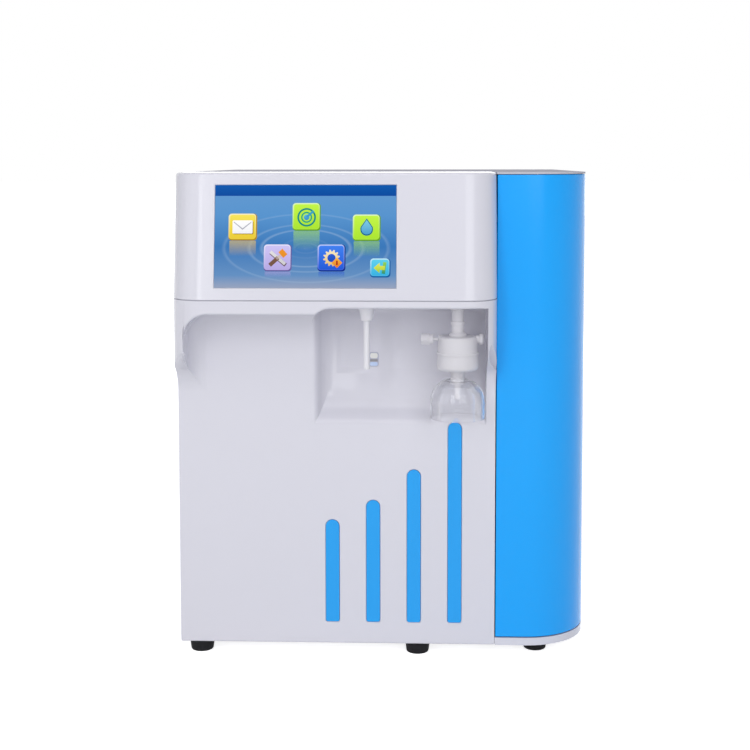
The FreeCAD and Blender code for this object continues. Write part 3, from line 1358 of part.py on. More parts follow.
def build_fan():
    """The cooling fan: frame with its bearing hub, bladed rotor and wire guard."""
    front = f"({REAR} - sheet_wall - fan_thickness)"
    half = "fan_size / 2"
    frame = box(f"{FAN_X} - {half}", front, f"{FAN_Z} - {half}", "fan_size", "fan_thickness", "fan_size")
    hole = rod(FAN_X, front, FAN_Z, "fan_bore", "fan_thickness", "Y")
    hub = rod(FAN_X, front, FAN_Z, "fan_hub", "wall", "Y")
    struts = [box(f"{FAN_X} - {half}", front, f"{FAN_Z} - wall / 2", "fan_size", "wall / 2", "wall"),
              box(f"{FAN_X} - wall / 2", front, f"{FAN_Z} - {half}", "wall", "wall / 2", "fan_size")]
    bearing = rod(FAN_X, front, FAN_Z, "fan_pin + running_gap", "wall", "Y")
    node("fan_frame", cut(fuse(cut(frame, hole), hub, *struts), bearing))
    rotor_front = f"({front} + wall + fit_gap)"
    drum = rod(FAN_X, rotor_front, FAN_Z, "fan_hub", "fan_thickness - 2 * wall", "Y")
    pin = rod(FAN_X, f"{front} + fit_gap", FAN_Z, "fan_pin", "wall + fit_gap", "Y")
    chord = "(fan_thickness - 3 * wall)"
    back = f"(guard_wire / 2 * sin(fan_pitch) - {chord} / 2 * cos(fan_pitch))"
    drop = f"({chord} / 2 * sin(fan_pitch) + guard_wire / 2 * cos(fan_pitch))"
    blades = []
    for order in range(int(number("fan_blades"))):
        turned = f"(({order} + 0.5) * 360 / fan_blades)"
        blade = doc.addObject("Part::Box", "blade")
        bind(blade, "Length", "fan_blade_reach - fan_blade_root")
        bind(blade, "Width", chord)
        bind(blade, "Height", "guard_wire")
        spin = Rotation(Vector(0, 1, 0), number(turned))
        pitch = Rotation(Vector(1, 0, 0), number("fan_pitch"))
        place(blade, f"{FAN_X} + fan_blade_root * cos({turned}) - {drop} * sin({turned})",
              f"{rotor_front} + fan_thickness / 2 - wall + {back}",
              f"{FAN_Z} - fan_blade_root * sin({turned}) - {drop} * cos({turned})", turn=spin * pitch)
        blades.append(blade)
    node("fan_rotor", fuse(drum, pin, *blades))
    rings = [torus(FAN_X, f"{REAR} + guard_wire", FAN_Z, radius, "guard_wire", "Y")
             for radius in ("fan_bore", "fan_bore * 0.72", "fan_bore * 0.44")]
    spokes = [rod(f"{FAN_X} - {half}", f"{REAR} + guard_wire", FAN_Z, "guard_wire", "fan_size", "X"),
              rod(FAN_X, f"{REAR} + guard_wire", f"{FAN_Z} - {half}", "guard_wire", "fan_size")]
    node("fan_guard", fuse(*rings, *spokes))


def build_screws():
    """Button-head screws of the rear panel and the top cover."""
    heads = [rod(across, REAR, up, "screw_head", "screw_head_height", "Y")
             for across, up in rear_screw_places()]
    heads += [rod(across, depth, f"{TOP} - screw_head_height", "screw_head", "screw_head_height")
              for across, depth in cover_screw_places()]
    screws = [fuse(head, shank) for head, shank in zip(heads, screw_shanks())]
    node("panel_screws", group(*screws), solids=len(screws))


def check_and_write():
    """Recompute, test every object and sub-part, and write one STEP file per node."""
    doc.recompute()
    faults = [f"{thing.Name}: {thing.State}" for thing in doc.Objects
              if "Invalid" in thing.State or "Error" in thing.State]
    for name, (thing, solids) in nodes.items():
        shape = thing.Shape
        if shape.isNull() or not shape.isValid():
            faults.append(f"{name}: the shape is null or invalid")
        elif len(shape.Solids) != solids:
            faults.append(f"{name}: {len(shape.Solids)} solids, not {solids}")
    if faults:
        raise SystemExit("\n".join(faults))
    os.makedirs("parts", exist_ok=True)
    for name, (thing, solids) in nodes.items():
        thing.Shape.exportStep(f"parts/{name}.step")
    print(f"{len(nodes)} nodes written")


build_base()
build_feet()
build_frame()
build_front()
build_head()
build_covers()
build_door()
build_outlet()
build_filter()
build_cartridges()
build_booster_pump()
build_circulation_pump()
build_reactor()
build_electrics()
build_valve()
build_cell()
build_tubes()
build_ports()
build_inlet()
build_fan()
build_screws()
check_and_write()
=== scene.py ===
"""A bench-top ultrapure water system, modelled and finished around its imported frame."""
import json
import logging
import math
from collections.abc import Callable, Iterator, Sequence
from contextlib import contextmanager
from dataclasses import dataclass, field
from enum import Enum
from itertools import cycle, islice
from typing import Protocol

import bmesh
import bpy
from mathutils import Matrix, Vector


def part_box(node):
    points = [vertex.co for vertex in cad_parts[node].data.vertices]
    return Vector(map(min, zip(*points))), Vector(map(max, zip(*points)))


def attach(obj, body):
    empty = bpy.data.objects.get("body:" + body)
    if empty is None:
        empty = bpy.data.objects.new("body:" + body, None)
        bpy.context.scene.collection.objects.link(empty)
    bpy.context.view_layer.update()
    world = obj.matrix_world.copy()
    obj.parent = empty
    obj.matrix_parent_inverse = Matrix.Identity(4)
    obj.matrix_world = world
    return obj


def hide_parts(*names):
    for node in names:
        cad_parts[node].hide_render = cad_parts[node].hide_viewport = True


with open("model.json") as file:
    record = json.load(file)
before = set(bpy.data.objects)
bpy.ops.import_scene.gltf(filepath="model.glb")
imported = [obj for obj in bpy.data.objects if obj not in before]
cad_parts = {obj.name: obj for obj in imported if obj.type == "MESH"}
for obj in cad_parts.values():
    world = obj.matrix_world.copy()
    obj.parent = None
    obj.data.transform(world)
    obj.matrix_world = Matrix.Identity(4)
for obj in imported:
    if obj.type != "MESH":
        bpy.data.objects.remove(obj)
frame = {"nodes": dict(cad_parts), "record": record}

LOG = logging.getLogger("water_system")
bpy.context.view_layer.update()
MM = 0.001
NEAR = 0.01          # millimetres within which two places count as one
SHARP = 35.0         # degrees from which an edge counts as sharp
SMOOTH = 38.0        # degrees up to which a bend is shaded smooth

Colour = tuple[float, float, float]
Levels = tuple[int, int, int]
Point = tuple[float, float, float]
Corner = tuple[float, float]
Rounds = dict[int, float]
Mesh = bpy.types.Object
Tree = bpy.types.NodeTree
Node = bpy.types.Node
Socket = bpy.types.NodeSocket
Inputs = dict[int | str, float | Sequence[float] | Socket]


class Axis(Enum):
    """A direction of the machine: to the user's right, to the rear, or up."""

    RIGHT = 0
    REAR = 1
    UP = 2

    def turn(self) -> Point:
        """Return the rotation that lays an upright primitive along this axis."""
        quarter = math.pi / 2
        return {Axis.RIGHT: (0, quarter, 0), Axis.REAR: (-quarter, 0, 0), Axis.UP: (0, 0, 0)}[self]

    def vector(self, length: float) -> Vector:
        """Return a vector of a length along this axis."""
        return Vector([length if n == self.value else 0.0 for n in range(3)])


class Part(Enum):
    """The kind of mesh element that a selection picks."""

    VERT = "verts"
    EDGE = "edges"


def srgb(red: int, green: int, blue: int) -> Colour:
    """Return the linear levels that shaders take for a display colour of 0 to 255."""
    levels = (red / 255, green / 255, blue / 255)
    return tuple(c / 12.92 if c <= 0.04045 else ((c + 0.055) / 1.055) ** 2.4 for c in levels)


# ---------------------------------------------------------------- nodes

def feed(node: Node, inputs: Inputs) -> Node:
    """Link a node's inputs to sockets, or set them to plain values.

    Args:
        node: The node that takes them.
        inputs: A socket or a value for each input, by its name or number.

    Returns:
        The same node.
    """
    for label, value in inputs.items():
        if isinstance(value, Socket):
            node.id_data.links.new(value, node.inputs[label])
        else:
            node.inputs[label].default_value = value
    return node


def add_node(tree: Tree, kind: str, inputs: Inputs | None = None, **settings: object) -> Node:
    """Add a shader node with its settings and inputs.

    Args:
        tree: The nodes to add to.
        kind: The node's type.
        inputs: What its inputs take.
        settings: Its own properties.

    Returns:
        The new node.
    """
    node = tree.nodes.new(f"ShaderNode{kind}")
    for label, value in settings.items():
        setattr(node, label, value)
    return feed(node, inputs or {})


def reckon(tree: Tree, operation: str, first: Socket, second: Socket | float) -> Socket:
    """Return the result of an operation on two values."""
    return add_node(tree, "Math", {0: first, 1: second}, operation=operation).outputs["Value"]


def mix(tree: Tree, factor: Socket | float, first: Socket | Colour, second: Socket | Colour) -> Socket:
    """Blend two colours by a factor, each given as a socket or as a value.

    Args:
        tree: The nodes to add to.
        factor: How much of the second colour.
        first: The colour at 0.
        second: The colour at 1.

    Returns:
        The blended colour's socket.
    """
    ends = [end if isinstance(end, Socket) else (*end, 1) for end in (first, second)]
    return add_node(tree, "Mix", {0: factor, 6: ends[0], 7: ends[1]}, data_type="RGBA").outputs[2]


def seen_or_mirrored(tree: Tree) -> Socket:
    """Pick the rays that the camera sends, straight or by way of gloss or glass.

    Args:
        tree: The nodes to add to.

    Returns:
        A value that is 1 for those rays.
    """
    rays = add_node(tree, "LightPath").outputs
    total = rays["Is Camera Ray"]
    for label in ("Is Glossy Ray", "Is Transmission Ray"):
        total = reckon(tree, "MAXIMUM", total, rays[label])
    return total


class Effects:
    """Node groups that several finishes share, each built once."""

    def __init__(self) -> None:
        """Start with no group built."""
        self.groups: dict[str, Tree] = {}

    def start(self, name: str, inputs: dict[str, float], outputs: Sequence[str]) -> Tree:
        """Make an empty group with a vector input, named values and named outputs.

        Args:
            name: The group's name.
            inputs: The values' names and defaults.
            outputs: The names of the values it puts out.

        Returns:
            The group's node tree.
        """
        tree = self.groups[name] = bpy.data.node_groups.new(name, "ShaderNodeTree")
        tree.interface.new_socket("Vector", in_out="INPUT", socket_type="NodeSocketVector")
        for label, value in inputs.items():
            socket = tree.interface.new_socket(label, in_out="INPUT", socket_type="NodeSocketFloat")
            socket.default_value = value
        for label in outputs:
            tree.interface.new_socket(label, in_out="OUTPUT", socket_type="NodeSocketFloat")
        tree.nodes.new("NodeGroupInput").name = "in"
        tree.nodes.new("NodeGroupOutput").name = "out"
        return tree

    def grain(self) -> Tree:
        """Return the group for a moulded or sprayed surface: fine relief and slow drift."""
        if "surface_grain" not in self.groups:
            tree = self.start("surface_grain", {"Scale": 900.0, "Drift": 9.0}, ("Height", "Tone"))
            given = tree.nodes["in"].outputs
            fine = add_node(tree, "TexNoise", {
                "Vector": given["Vector"], "Scale": given["Scale"], "Detail": 3})
            slow = add_node(tree, "TexNoise", {
                "Vector": given["Vector"], "Scale": given["Drift"], "Detail": 2, "Roughness": 0.45})
            feed(tree.nodes["out"], {"Height": fine.outputs["Fac"], "Tone": slow.outputs["Fac"]})
        return self.groups["surface_grain"]

    def brushed(self) -> Tree:
        """Return the group for rolled or brushed metal: long scratches along one axis."""
        if "brushed_lines" not in self.groups:
            tree = self.start("brushed_lines", {"Along": 4.0, "Across": 900.0}, ("Height", "Tone"))
            given = tree.nodes["in"].outputs
            stretch = add_node(tree, "CombineXYZ", {
                "X": given["Along"], "Y": given["Along"], "Z": given["Across"]})
            scaled = add_node(tree, "VectorMath", {
                0: given["Vector"], 1: stretch.outputs["Vector"]}, operation="MULTIPLY")
            lines = add_node(tree, "TexNoise", {"Vector": scaled.outputs["Vector"], "Scale": 1, "Detail": 5})
            feed(tree.nodes["out"], {"Height": lines.outputs["Fac"], "Tone": lines.outputs["Fac"]})
        return self.groups["brushed_lines"]

    def dust(self) -> Tree:
        """Return the group for dust that settles on what faces up."""
        if "settled_dust" not in self.groups:
            tree = self.start("settled_dust", {"Amount": 0.3}, ("Mask",))
            given = tree.nodes["in"].outputs
            normal = add_node(tree, "NewGeometry").outputs["Normal"]
            height = add_node(tree, "SeparateXYZ", {"Vector": normal}).outputs["Z"]
            facing = add_node(tree, "MapRange", {"Value": height, "From Min": 0.6}).outputs["Result"]
            specks = add_node(tree, "TexNoise", {"Vector": given["Vector"], "Scale": 160, "Detail": 6})
            patchy = reckon(tree, "MULTIPLY", facing, specks.outputs["Fac"])
            feed(tree.nodes["out"], {"Mask": reckon(tree, "MULTIPLY", patchy, given["Amount"])})
        return self.groups["settled_dust"]


EFFECTS = Effects()
MADE: dict[str, bpy.types.Material] = {}


# ---------------------------------------------------------------- finishes

@dataclass(frozen=True)
class Finish:
    """A finish of one material: its colour, gloss, relief and how both vary."""

    name: str
    colour: Colour
    roughness: float = 0.35
    metallic: float = 0.0
    drift: float = 0.03
    wear: float = 0.12
    relief: float = 0.02
    grain: float = 900.0
    coat: float = 0.0
    coat_roughness: float = 0.08
    specular: float = 0.5
    transmission: float = 0.0
    ior: float = 1.46
    alpha: float = 1.0
    glow: float = 0.0
    dust: float = 0.0
    brushed: bool = False

    def build(self) -> bpy.types.Material:
        """Return the material, making it the first time it is asked for."""
        if self.name in MADE:
            return MADE[self.name]
        material = MADE[self.name] = bpy.data.materials.new(f"{self.name}_finish")
        material.use_nodes = True
        material.diffuse_color = (*self.colour, 1)
        tree = material.node_tree
        shader = tree.nodes["Principled BSDF"]
        place = add_node(tree, "TexCoord").outputs["Object"]
        if self.brushed:
            effect = add_node(tree, "Group", {"Vector": place}, node_tree=EFFECTS.brushed())
        else:
            effect = add_node(tree, "Group", {"Vector": place, "Scale": self.grain},
                              node_tree=EFFECTS.grain())
        colour = self.tint(tree, place, effect.outputs["Tone"])
        feed(shader, {"Base Color": colour})
        self.set_gloss(tree, shader, effect)
        if self.glow:
            feed(shader, {"Emission Color": colour, "Emission Strength": self.glow})
        return material

    def tint(self, tree: Tree, place: Socket, tone: Socket) -> Socket:
        """Vary the colour slowly over the surface and lay dust on what faces up.

        Args:
            tree: The material's nodes.
            place: The object coordinates.
            tone: The slow drift of 0 to 1.

        Returns:
            The socket that carries the finished colour.
        """
        low = tuple(c * (1 - self.drift) for c in self.colour)
        high = tuple(min(1.0, c * (1 + self.drift)) for c in self.colour)
        mixed = mix(tree, tone, low, high)
        if not self.dust:
            return mixed
        settled = add_node(tree, "Group", {"Amount": self.dust, "Vector": place}, node_tree=EFFECTS.dust())
        return mix(tree, settled.outputs["Mask"], mixed, (0.62, 0.60, 0.57))

    def set_gloss(self, tree: Tree, shader: Node, effect: Node) -> None:
        """Set the shader's plain values and link the varying roughness and relief.

        Args:
            tree: The material's nodes.
            shader: The Principled shader.
            effect: The group that gives Height and Tone.
        """
        spread = add_node(tree, "MapRange", {
            "Value": effect.outputs["Tone"], "To Min": self.roughness * (1 - self.wear),
            "To Max": min(1.0, self.roughness * (1 + self.wear))})
        feed(shader, {
            "Metallic": self.metallic, "Coat Weight": self.coat, "IOR": self.ior,
            "Coat Roughness": self.coat_roughness, "Specular IOR Level": self.specular,
            "Transmission Weight": self.transmission, "Alpha": self.alpha,
            "Roughness": spread.outputs["Result"]})
        if self.relief:
            bump = add_node(tree, "Bump", {
                "Strength": self.relief, "Distance": 0.2 * MM, "Height": effect.outputs["Height"]})
            feed(shader, {"Normal": bump.outputs["Normal"]})


ROOF_SHEET = Finish("roof_sheet", srgb(197, 196, 205), 0.7, specular=0.0, relief=0.1, grain=700,
                    drift=0.01, dust=0.04)
BADGE_CREAM = Finish("badge_cream", srgb(226, 226, 222), 0.4)
BADGE_DARK = Finish("badge_dark", srgb(140, 138, 142), 0.45)
BADGE_PALE = Finish("badge_pale", srgb(190, 208, 238), 0.4)
GASKET = Finish("pale_gasket", srgb(186, 186, 196), 0.6, relief=0.1)
CARTRIDGE_BLUE = Finish("cartridge_blue", (0.03, 0.15, 0.46), 0.38, relief=0.05)

SLOT_FINISHES: dict[str, Finish] = {
    "cabinet_white": Finish("white_shell", srgb(215, 214, 223), 0.16, relief=0.012, drift=0.004,
                            wear=0.06),
    "panel_white": Finish("white_sheet", srgb(212, 211, 219), 0.46, specular=0.2, relief=0.12,
                          grain=700, drift=0.01, dust=0.04),
    "door_blue": Finish("door_blue", srgb(10, 165, 250), 0.2, specular=0.3, relief=0.01,
                        drift=0.006, wear=0.06),
    "accent_blue": Finish("bar_blue", srgb(30, 160, 238), 0.38, specular=0.4, relief=0.04,
                          drift=0.012),
    "foot_rubber": Finish("foot_rubber", (0.012, 0.012, 0.014), 0.7, specular=0.15, relief=0.25,
                          grain=500, drift=0.2),
    "display_glass": Finish("display_blue", srgb(90, 150, 205), 0.2, glow=0.4),
    "metal_case": Finish("case_metal", (0.55, 0.56, 0.58), 0.34, 1.0, brushed=True, relief=0.05),
    "steel_sheet": Finish("galvanised", (0.50, 0.51, 0.53), 0.42, 1.0, relief=0.05, grain=60,
                          drift=0.14),
    "steel_bright": Finish("bright_steel", (0.66, 0.67, 0.69), 0.2, 1.0, brushed=True, relief=0.03),
    "magnet_black": Finish("magnet_black", (0.03, 0.03, 0.035), 0.5, relief=0.1),
    "outlet_white": Finish("outlet_white", srgb(226, 225, 230), 0.3, relief=0.02, coat=0.15),
    "badge_grey": Finish("badge_grey", srgb(176, 178, 196), 0.4),
    "clear_plastic": Finish("clear_bell", (0.97, 0.975, 0.99), 0.03, transmission=1.0, ior=1.45,
                            alpha=0.72, relief=0.0, drift=0.0),
    "frosted_plastic": Finish("frosted_white", srgb(223, 221, 226), 0.36, relief=0.04, drift=0.01,
                              transmission=0.15),
    "membrane_white": Finish("pleated_membrane", (0.86, 0.86, 0.84), 0.8, relief=0.3, grain=400),
    "cartridge_white": Finish("cartridge_white", srgb(232, 232, 236), 0.28, relief=0.03, coat=0.1),
    "cartridge_blue": CARTRIDGE_BLUE,
    "clip_grey": Finish("clip_grey", (0.22, 0.23, 0.25), 0.5, relief=0.08),
    "pump_black": Finish("pump_black", (0.03, 0.03, 0.034), 0.45, relief=0.2, grain=500),
    "motor_paint": Finish("motor_black", (0.05, 0.055, 0.06), 0.3, relief=0.05, coat=0.2),
    "rotor_steel": Finish("rotor_steel", (0.42, 0.42, 0.44), 0.35, 1.0, brushed=True),
    "lamp_glass": Finish("lamp_quartz", (0.82, 0.86, 0.95), 0.05, transmission=1.0, relief=0.0),
    "board_green": Finish("circuit_board", (0.015, 0.14, 0.06), 0.35, relief=0.05, drift=0.08),
    "valve_body": Finish("valve_nylon", (0.62, 0.62, 0.60), 0.45, relief=0.06),
    "tube_white": Finish("white_tube", (0.78, 0.80, 0.83), 0.3, relief=0.02),
    "inlet_black": Finish("inlet_black", (0.02, 0.02, 0.022), 0.42, relief=0.08),
    "collet_blue": Finish("collet_blue", (0.025, 0.12, 0.42), 0.4, relief=0.04),
}


# ---------------------------------------------------------------- shaping

@dataclass(frozen=True)
class Spot:
    """Where a mesh element lies, in millimetres, and how it is turned."""

    low: Vector
    high: Vector
    normal: Vector
    bend: float = 0.0

    def runs(self, axis: Axis) -> bool:
        """Say whether the element lies along one axis only."""
        span = self.high - self.low
        return span[axis.value] > NEAR and all(span[n] < NEAR for n in range(3) if n != axis.value)


Test = Callable[[Spot], bool]


def hold(piece: Mesh | None) -> None:
    """Select one piece alone and make it active, or deselect all.

    Args:
        piece: The piece, or None for nothing.
    """
    bpy.ops.object.select_all(action="DESELECT")
    if piece:
        bpy.context.view_layer.objects.active = piece
        piece.select_set(True)


def settle(name: str) -> Mesh:
    """Name the active piece and put its place and turn into its mesh.

    Args:
        name: The piece's name.

    Returns:
        The active piece.
    """
    piece = bpy.context.object
    piece.name = piece.data.name = name
    bpy.ops.object.transform_apply(location=True, rotation=True, scale=True)
    return piece


def place(piece: Mesh, spot: Sequence[float], turn: Point = (0, 0, 0)) -> Mesh:
    """Turn a piece about the origin and move the origin to a spot.

    Args:
        piece: The piece, whose own place is the origin.
        spot: Where the origin goes, in millimetres.
        turn: The rotation about each axis.

    Returns:
        The same piece.
    """
    hold(piece)
    piece.rotation_euler = turn
    piece.location = Vector(spot) * MM
    return settle(piece.name)


@contextmanager
def editing(piece: Mesh, everything: bool = False) -> Iterator[None]:
    """Open a piece in edit mode, and close it afterwards.

    Args:
        piece: The piece to open.
        everything: Whether all of it starts selected, or nothing.
    """
    hold(piece)
    bpy.ops.object.mode_set(mode="EDIT")
    bpy.ops.mesh.select_mode(type="VERT")
    bpy.ops.mesh.select_all(action="SELECT" if everything else "DESELECT")
    yield
    bpy.ops.object.mode_set(mode="OBJECT")


def pick(piece: Mesh, part: Part, test: Test) -> int:
    """Select the elements that pass a test of their place, facing and bend.

    Args:
        piece: A piece that is open in edit mode.
        part: The kind of element to select.
        test: Says whether an element is wanted.

    Returns:
        How many elements are selected.
    """
    bpy.ops.mesh.select_mode(type=part.name)
    mesh = bmesh.from_edit_mesh(piece.data)
    picked = 0
    for element in getattr(mesh, part.value):
        corners = [element] if part is Part.VERT else element.verts
        points = [corner.co / MM for corner in corners]
        low = Vector([min(p[n] for p in points) for n in range(3)])
        high = Vector([max(p[n] for p in points) for n in range(3)])
        if part is Part.EDGE:
            normal = sum((face.normal for face in element.link_faces), Vector())
            spot = Spot(low, high, normal, math.degrees(element.calc_face_angle(0.0)))
        else:
            spot = Spot(low, high, element.normal.copy())
        wanted = test(spot)
        element.select_set(wanted)
        picked += wanted
    mesh.select_flush_mode()
    bmesh.update_edit_mesh(piece.data)
    return picked


def rectangle(left: float, low: float, right: float, high: float) -> list[Corner]:
    """Return the corners of a rectangle, anticlockwise from its lower left."""
    return [(left, low), (right, low), (right, high), (left, high)]


def star(middle: Sequence[float], reaches: Sequence[float], points: int) -> list[Corner]:
    """Return the corners of a star.

    Args:
        middle: Its middle.
        reaches: How far its corners lie from the middle, over and over.
        points: How many corners it has.

    Returns:
        Its corners, anticlockwise from the right.
    """
    turns = [math.tau * order / points for order in range(points)]
    return [(middle[0] + reach * math.cos(turn), middle[1] + reach * math.sin(turn))
            for turn, reach in zip(turns, islice(cycle(reaches), points))]


def block(name: str, low: Sequence[float], high: Sequence[float], turn: Point = (0, 0, 0)) -> Mesh:
    """Start a block.

    Args:
        name: The piece's name.
        low: Its lowest corner, in millimetres.
        high: Its highest corner.
        turn: Its rotation about its middle.

    Returns:
        The block.
    """
    hold(None)
    bpy.ops.mesh.primitive_cube_add(
        size=1, location=[(a + b) / 2 * MM for a, b in zip(low, high)], rotation=turn,
        scale=[(b - a) * MM for a, b in zip(low, high)])
    return settle(name)


def drum(name: str, start: Sequence[float], radius: float, length: float, axis: Axis = Axis.UP) -> Mesh:
    """Start a round bar.

    Args:
        name: The piece's name.
        start: The middle of its first end, in millimetres.
        radius: Its radius.
        length: Its length along the axis.
        axis: The way it runs.

    Returns:
        The round bar.
    """
    hold(None)
    bpy.ops.mesh.primitive_cone_add(
        vertices=64, radius1=radius * MM, radius2=radius * MM, depth=length * MM,
        location=(Vector(start) + axis.vector(length / 2)) * MM, rotation=axis.turn())
    return settle(name)


def seed(name: str) -> Mesh:
    """Start a tiny plane, from which a chain of vertices is drawn.

    Args:
        name: The piece's name.

    Returns:
        The plane.
    """
    hold(None)
    bpy.ops.mesh.primitive_plane_add(size=MM)
    return settle(name)


def trail(points: Sequence[Sequence[float]]) -> None:
    """Draw a chain of vertices in edit mode, from a seed that is selected and shrunk to its middle.

    Args:
        points: Where the chain runs, in millimetres.
    """
    bpy.ops.mesh.merge(type="CENTER")
    bpy.ops.transform.translate(value=Vector(points[0]) * MM)
    for before, after in zip(points, points[1:]):
        bpy.ops.mesh.extrude_region_move(
            TRANSFORM_OT_translate={"value": (Vector(after) - Vector(before)) * MM})


def prism(name: str, axis: Axis, start: float, length: float, corners: Sequence[Corner],
          rounds: Rounds | None = None, steps: int = 14) -> Mesh:
    """Extrude a closed outline along an axis and round some of its corners.

    Args:
        name: The piece's name.
        axis: The way it is extruded.
        start: Where it starts along the axis.
        length: How far it runs.
        corners: The outline in the other two axes.
        rounds: The radius of each rounded corner, by its number.
        steps: How many steps make up a round.

    Returns:
        The extruded piece.
    """
    across = [n for n in range(3) if n != axis.value]

    def spread(corner: Corner) -> Vector:
        """Place a corner of the outline in space.

        Args:
            corner: The corner in the outline's two axes.

        Returns:
            Its point at the start of the axis.
        """
        point = axis.vector(start)
        point[across[0]], point[across[1]] = corner
        return point

    piece = seed(name)
    with editing(piece, everything=True):
        trail([spread(corner) for corner in corners])
        bpy.ops.mesh.select_all(action="SELECT")
        bpy.ops.mesh.edge_face_add()
        bpy.ops.mesh.extrude_region_move(TRANSFORM_OT_translate={"value": axis.vector(length * MM)})
        bpy.ops.mesh.select_all(action="SELECT")
        bpy.ops.mesh.normals_make_consistent(inside=False)
    for number, radius in (rounds or {}).items():
        here = Vector(corners[number])
        to_last = (Vector(corners[number - 1]) - here).normalized()
        to_next = (Vector(corners[(number + 1) % len(corners)]) - here).normalized()
        reach = radius / math.tan(math.acos(max(-1.0, min(1.0, to_last.dot(to_next)))) / 2)

        def at_corner(spot: Spot) -> bool:
            """Say whether an edge is the one that runs along this corner."""
            foot = Vector((spot.low[across[0]], spot.low[across[1]]))
            return spot.runs(axis) and (foot - here).length < NEAR

        with editing(piece):
            pick(piece, Part.EDGE, at_corner)
            bpy.ops.mesh.bevel(offset=reach * MM, segments=steps, affect="EDGES", clamp_overlap=False)
    return piece


def lathe(name: str, foot: Sequence[float], profile: Sequence[Corner], axis: Axis = Axis.UP,
          sides: int = 72, rounds: Rounds | None = None) -> Mesh:
    """Spin a profile of radii and heights round an axis that starts at a foot point.

    Args:
        name: The piece's name.
        foot: Where the axis starts, in millimetres.
        profile: Pairs of radius and height, from one end to the other.
        axis: The way the axis points.
        sides: How many steps make the turn.
        rounds: The radius of each rounded corner, by its number.

    Returns:
        The turned piece.
    """
    piece = seed(name)
    with editing(piece, everything=True):
        trail([(radius, 0, height) for radius, height in profile])
    for number, radius in (rounds or {}).items():
        here, last, following = (Vector(profile[n]) for n in (number, number - 1, number + 1))
        corner = (last - here).angle(following - here)
        with editing(piece):
            pick(piece, Part.VERT, lambda spot: (spot.low.xz - here).length < NEAR)
            bpy.ops.mesh.bevel(offset=radius / math.tan(corner / 2) * MM, segments=6, affect="VERTICES",
                               clamp_overlap=False)
    with editing(piece, everything=True):
        bpy.ops.mesh.spin(steps=sides, angle=math.tau, center=(0, 0, 0), axis=(0, 0, 1))
        bpy.ops.mesh.select_all(action="SELECT")
        bpy.ops.mesh.remove_doubles(threshold=0.002 * MM)
        bpy.ops.mesh.normals_make_consistent(inside=False)
    return place(piece, foot, axis.turn())


def traced(node: str, name: str) -> Mesh:
    """Copy a node's mesh, merge its loose triangles and clear the creases on its flats.

    Args:
        node: The node of the frame.
        name: The piece's name.

    Returns:
        The copy.
    """
    piece = twin(frame["nodes"][node], name)
    with editing(piece, everything=True):
        bpy.ops.mesh.remove_doubles(threshold=0.005 * MM)
        bpy.ops.mesh.customdata_custom_splitnormals_clear()
        bpy.ops.mesh.mark_sharp(clear=True)
        bpy.ops.mesh.dissolve_limited(angle_limit=math.radians(0.4))
    return piece


def apply(piece: Mesh, kind: str, **settings: object) -> Mesh:
    """Add a modifier and apply it.

    Args:
        piece: The piece that is changed.
        kind: The modifier's type.
        settings: Its own properties.

    Returns:
        The changed piece.
    """
    hold(piece)
    modifier = piece.modifiers.new(kind.lower(), kind)
    for label, value in settings.items():
        setattr(modifier, label, value)
    bpy.ops.object.modifier_apply(modifier=modifier.name)
    return piece


def soften(piece: Mesh, width: float, steps: int = 2, bend: float = SHARP) -> Mesh:
    """Round every edge of a piece that is sharper than a bend in degrees."""
    return apply(piece, "BEVEL", width=width * MM, segments=steps, limit_method="ANGLE",
                 angle_limit=math.radians(bend))


def bevel(piece: Mesh, width: float, test: Test, steps: int = 3) -> Mesh:
    """Round the sharp edges of a piece that pass a test.

    Args:
        piece: The piece that is changed.
        width: How wide the round is.
        test: Says whether an edge is wanted.
        steps: How many steps make up the round.

    Returns:
        The changed piece.
    """
    with editing(piece):
        if pick(piece, Part.EDGE, lambda spot: spot.bend > SHARP and test(spot)):
            bpy.ops.mesh.bevel(offset=width * MM, segments=steps, affect="EDGES", clamp_overlap=False)
    return piece


def score(piece: Mesh, axis: Axis, places: Sequence[float]) -> None:
    """Divide a piece's faces where planes across an axis meet them.

    Args:
        piece: The piece that is changed.
        axis: The axis that the planes stand across.
        places: Where they stand along it.
    """
    with editing(piece):
        for spot in places:
            bpy.ops.mesh.select_all(action="SELECT")
            bpy.ops.mesh.bisect(plane_co=axis.vector(spot * MM), plane_no=axis.vector(1))


def combine(piece: Mesh, *tools: Mesh, way: str = "DIFFERENCE") -> Mesh:
    """Cut, join or overlap a piece with tools, which are used up.

    Args:
        piece: The piece that is changed.
        tools: The pieces that it is combined with, one after another.
        way: The Boolean modifier's operation.

    Returns:
        The changed piece.
    """
    for tool in tools:
        apply(piece, "BOOLEAN", object=tool, operation=way, solver="EXACT")
        bpy.data.objects.remove(tool)
        with editing(piece, everything=True):
            bpy.ops.mesh.dissolve_degenerate(threshold=0.03 * MM)
    return piece


def twin(piece: Mesh, name: str, shift: Sequence[float] | None = None) -> Mesh:
    """Copy a piece with a mesh of its own.

    Args:
        piece: The piece to copy.
        name: The copy's name.
        shift: How far the copy moves, in millimetres.

    Returns:
        The copy.
    """
    other = bpy.data.objects.new(name, piece.data.copy())
    other.data.name = name
    bpy.context.scene.collection.objects.link(other)
    return place(other, shift) if shift else other


def join(name: str, *pieces: Mesh) -> Mesh:
    """Join separate bodies of one finish into one piece.

    Args:
        name: The joined piece's name.
        pieces: The bodies, which are used up.

    Returns:
        The joined piece.
    """
    hold(pieces[0])
    for piece in pieces[1:]:
        piece.select_set(True)
    bpy.ops.object.join()
    return settle(name)


SLOTS: dict[str, str] = {part["node"]: part["material_slot"] for part in frame["record"]["subparts"]}
BODIES: dict[str, str] = {
    node: body for body, nodes in frame["record"]["behaviour"]["bodies"].items() for node in nodes}


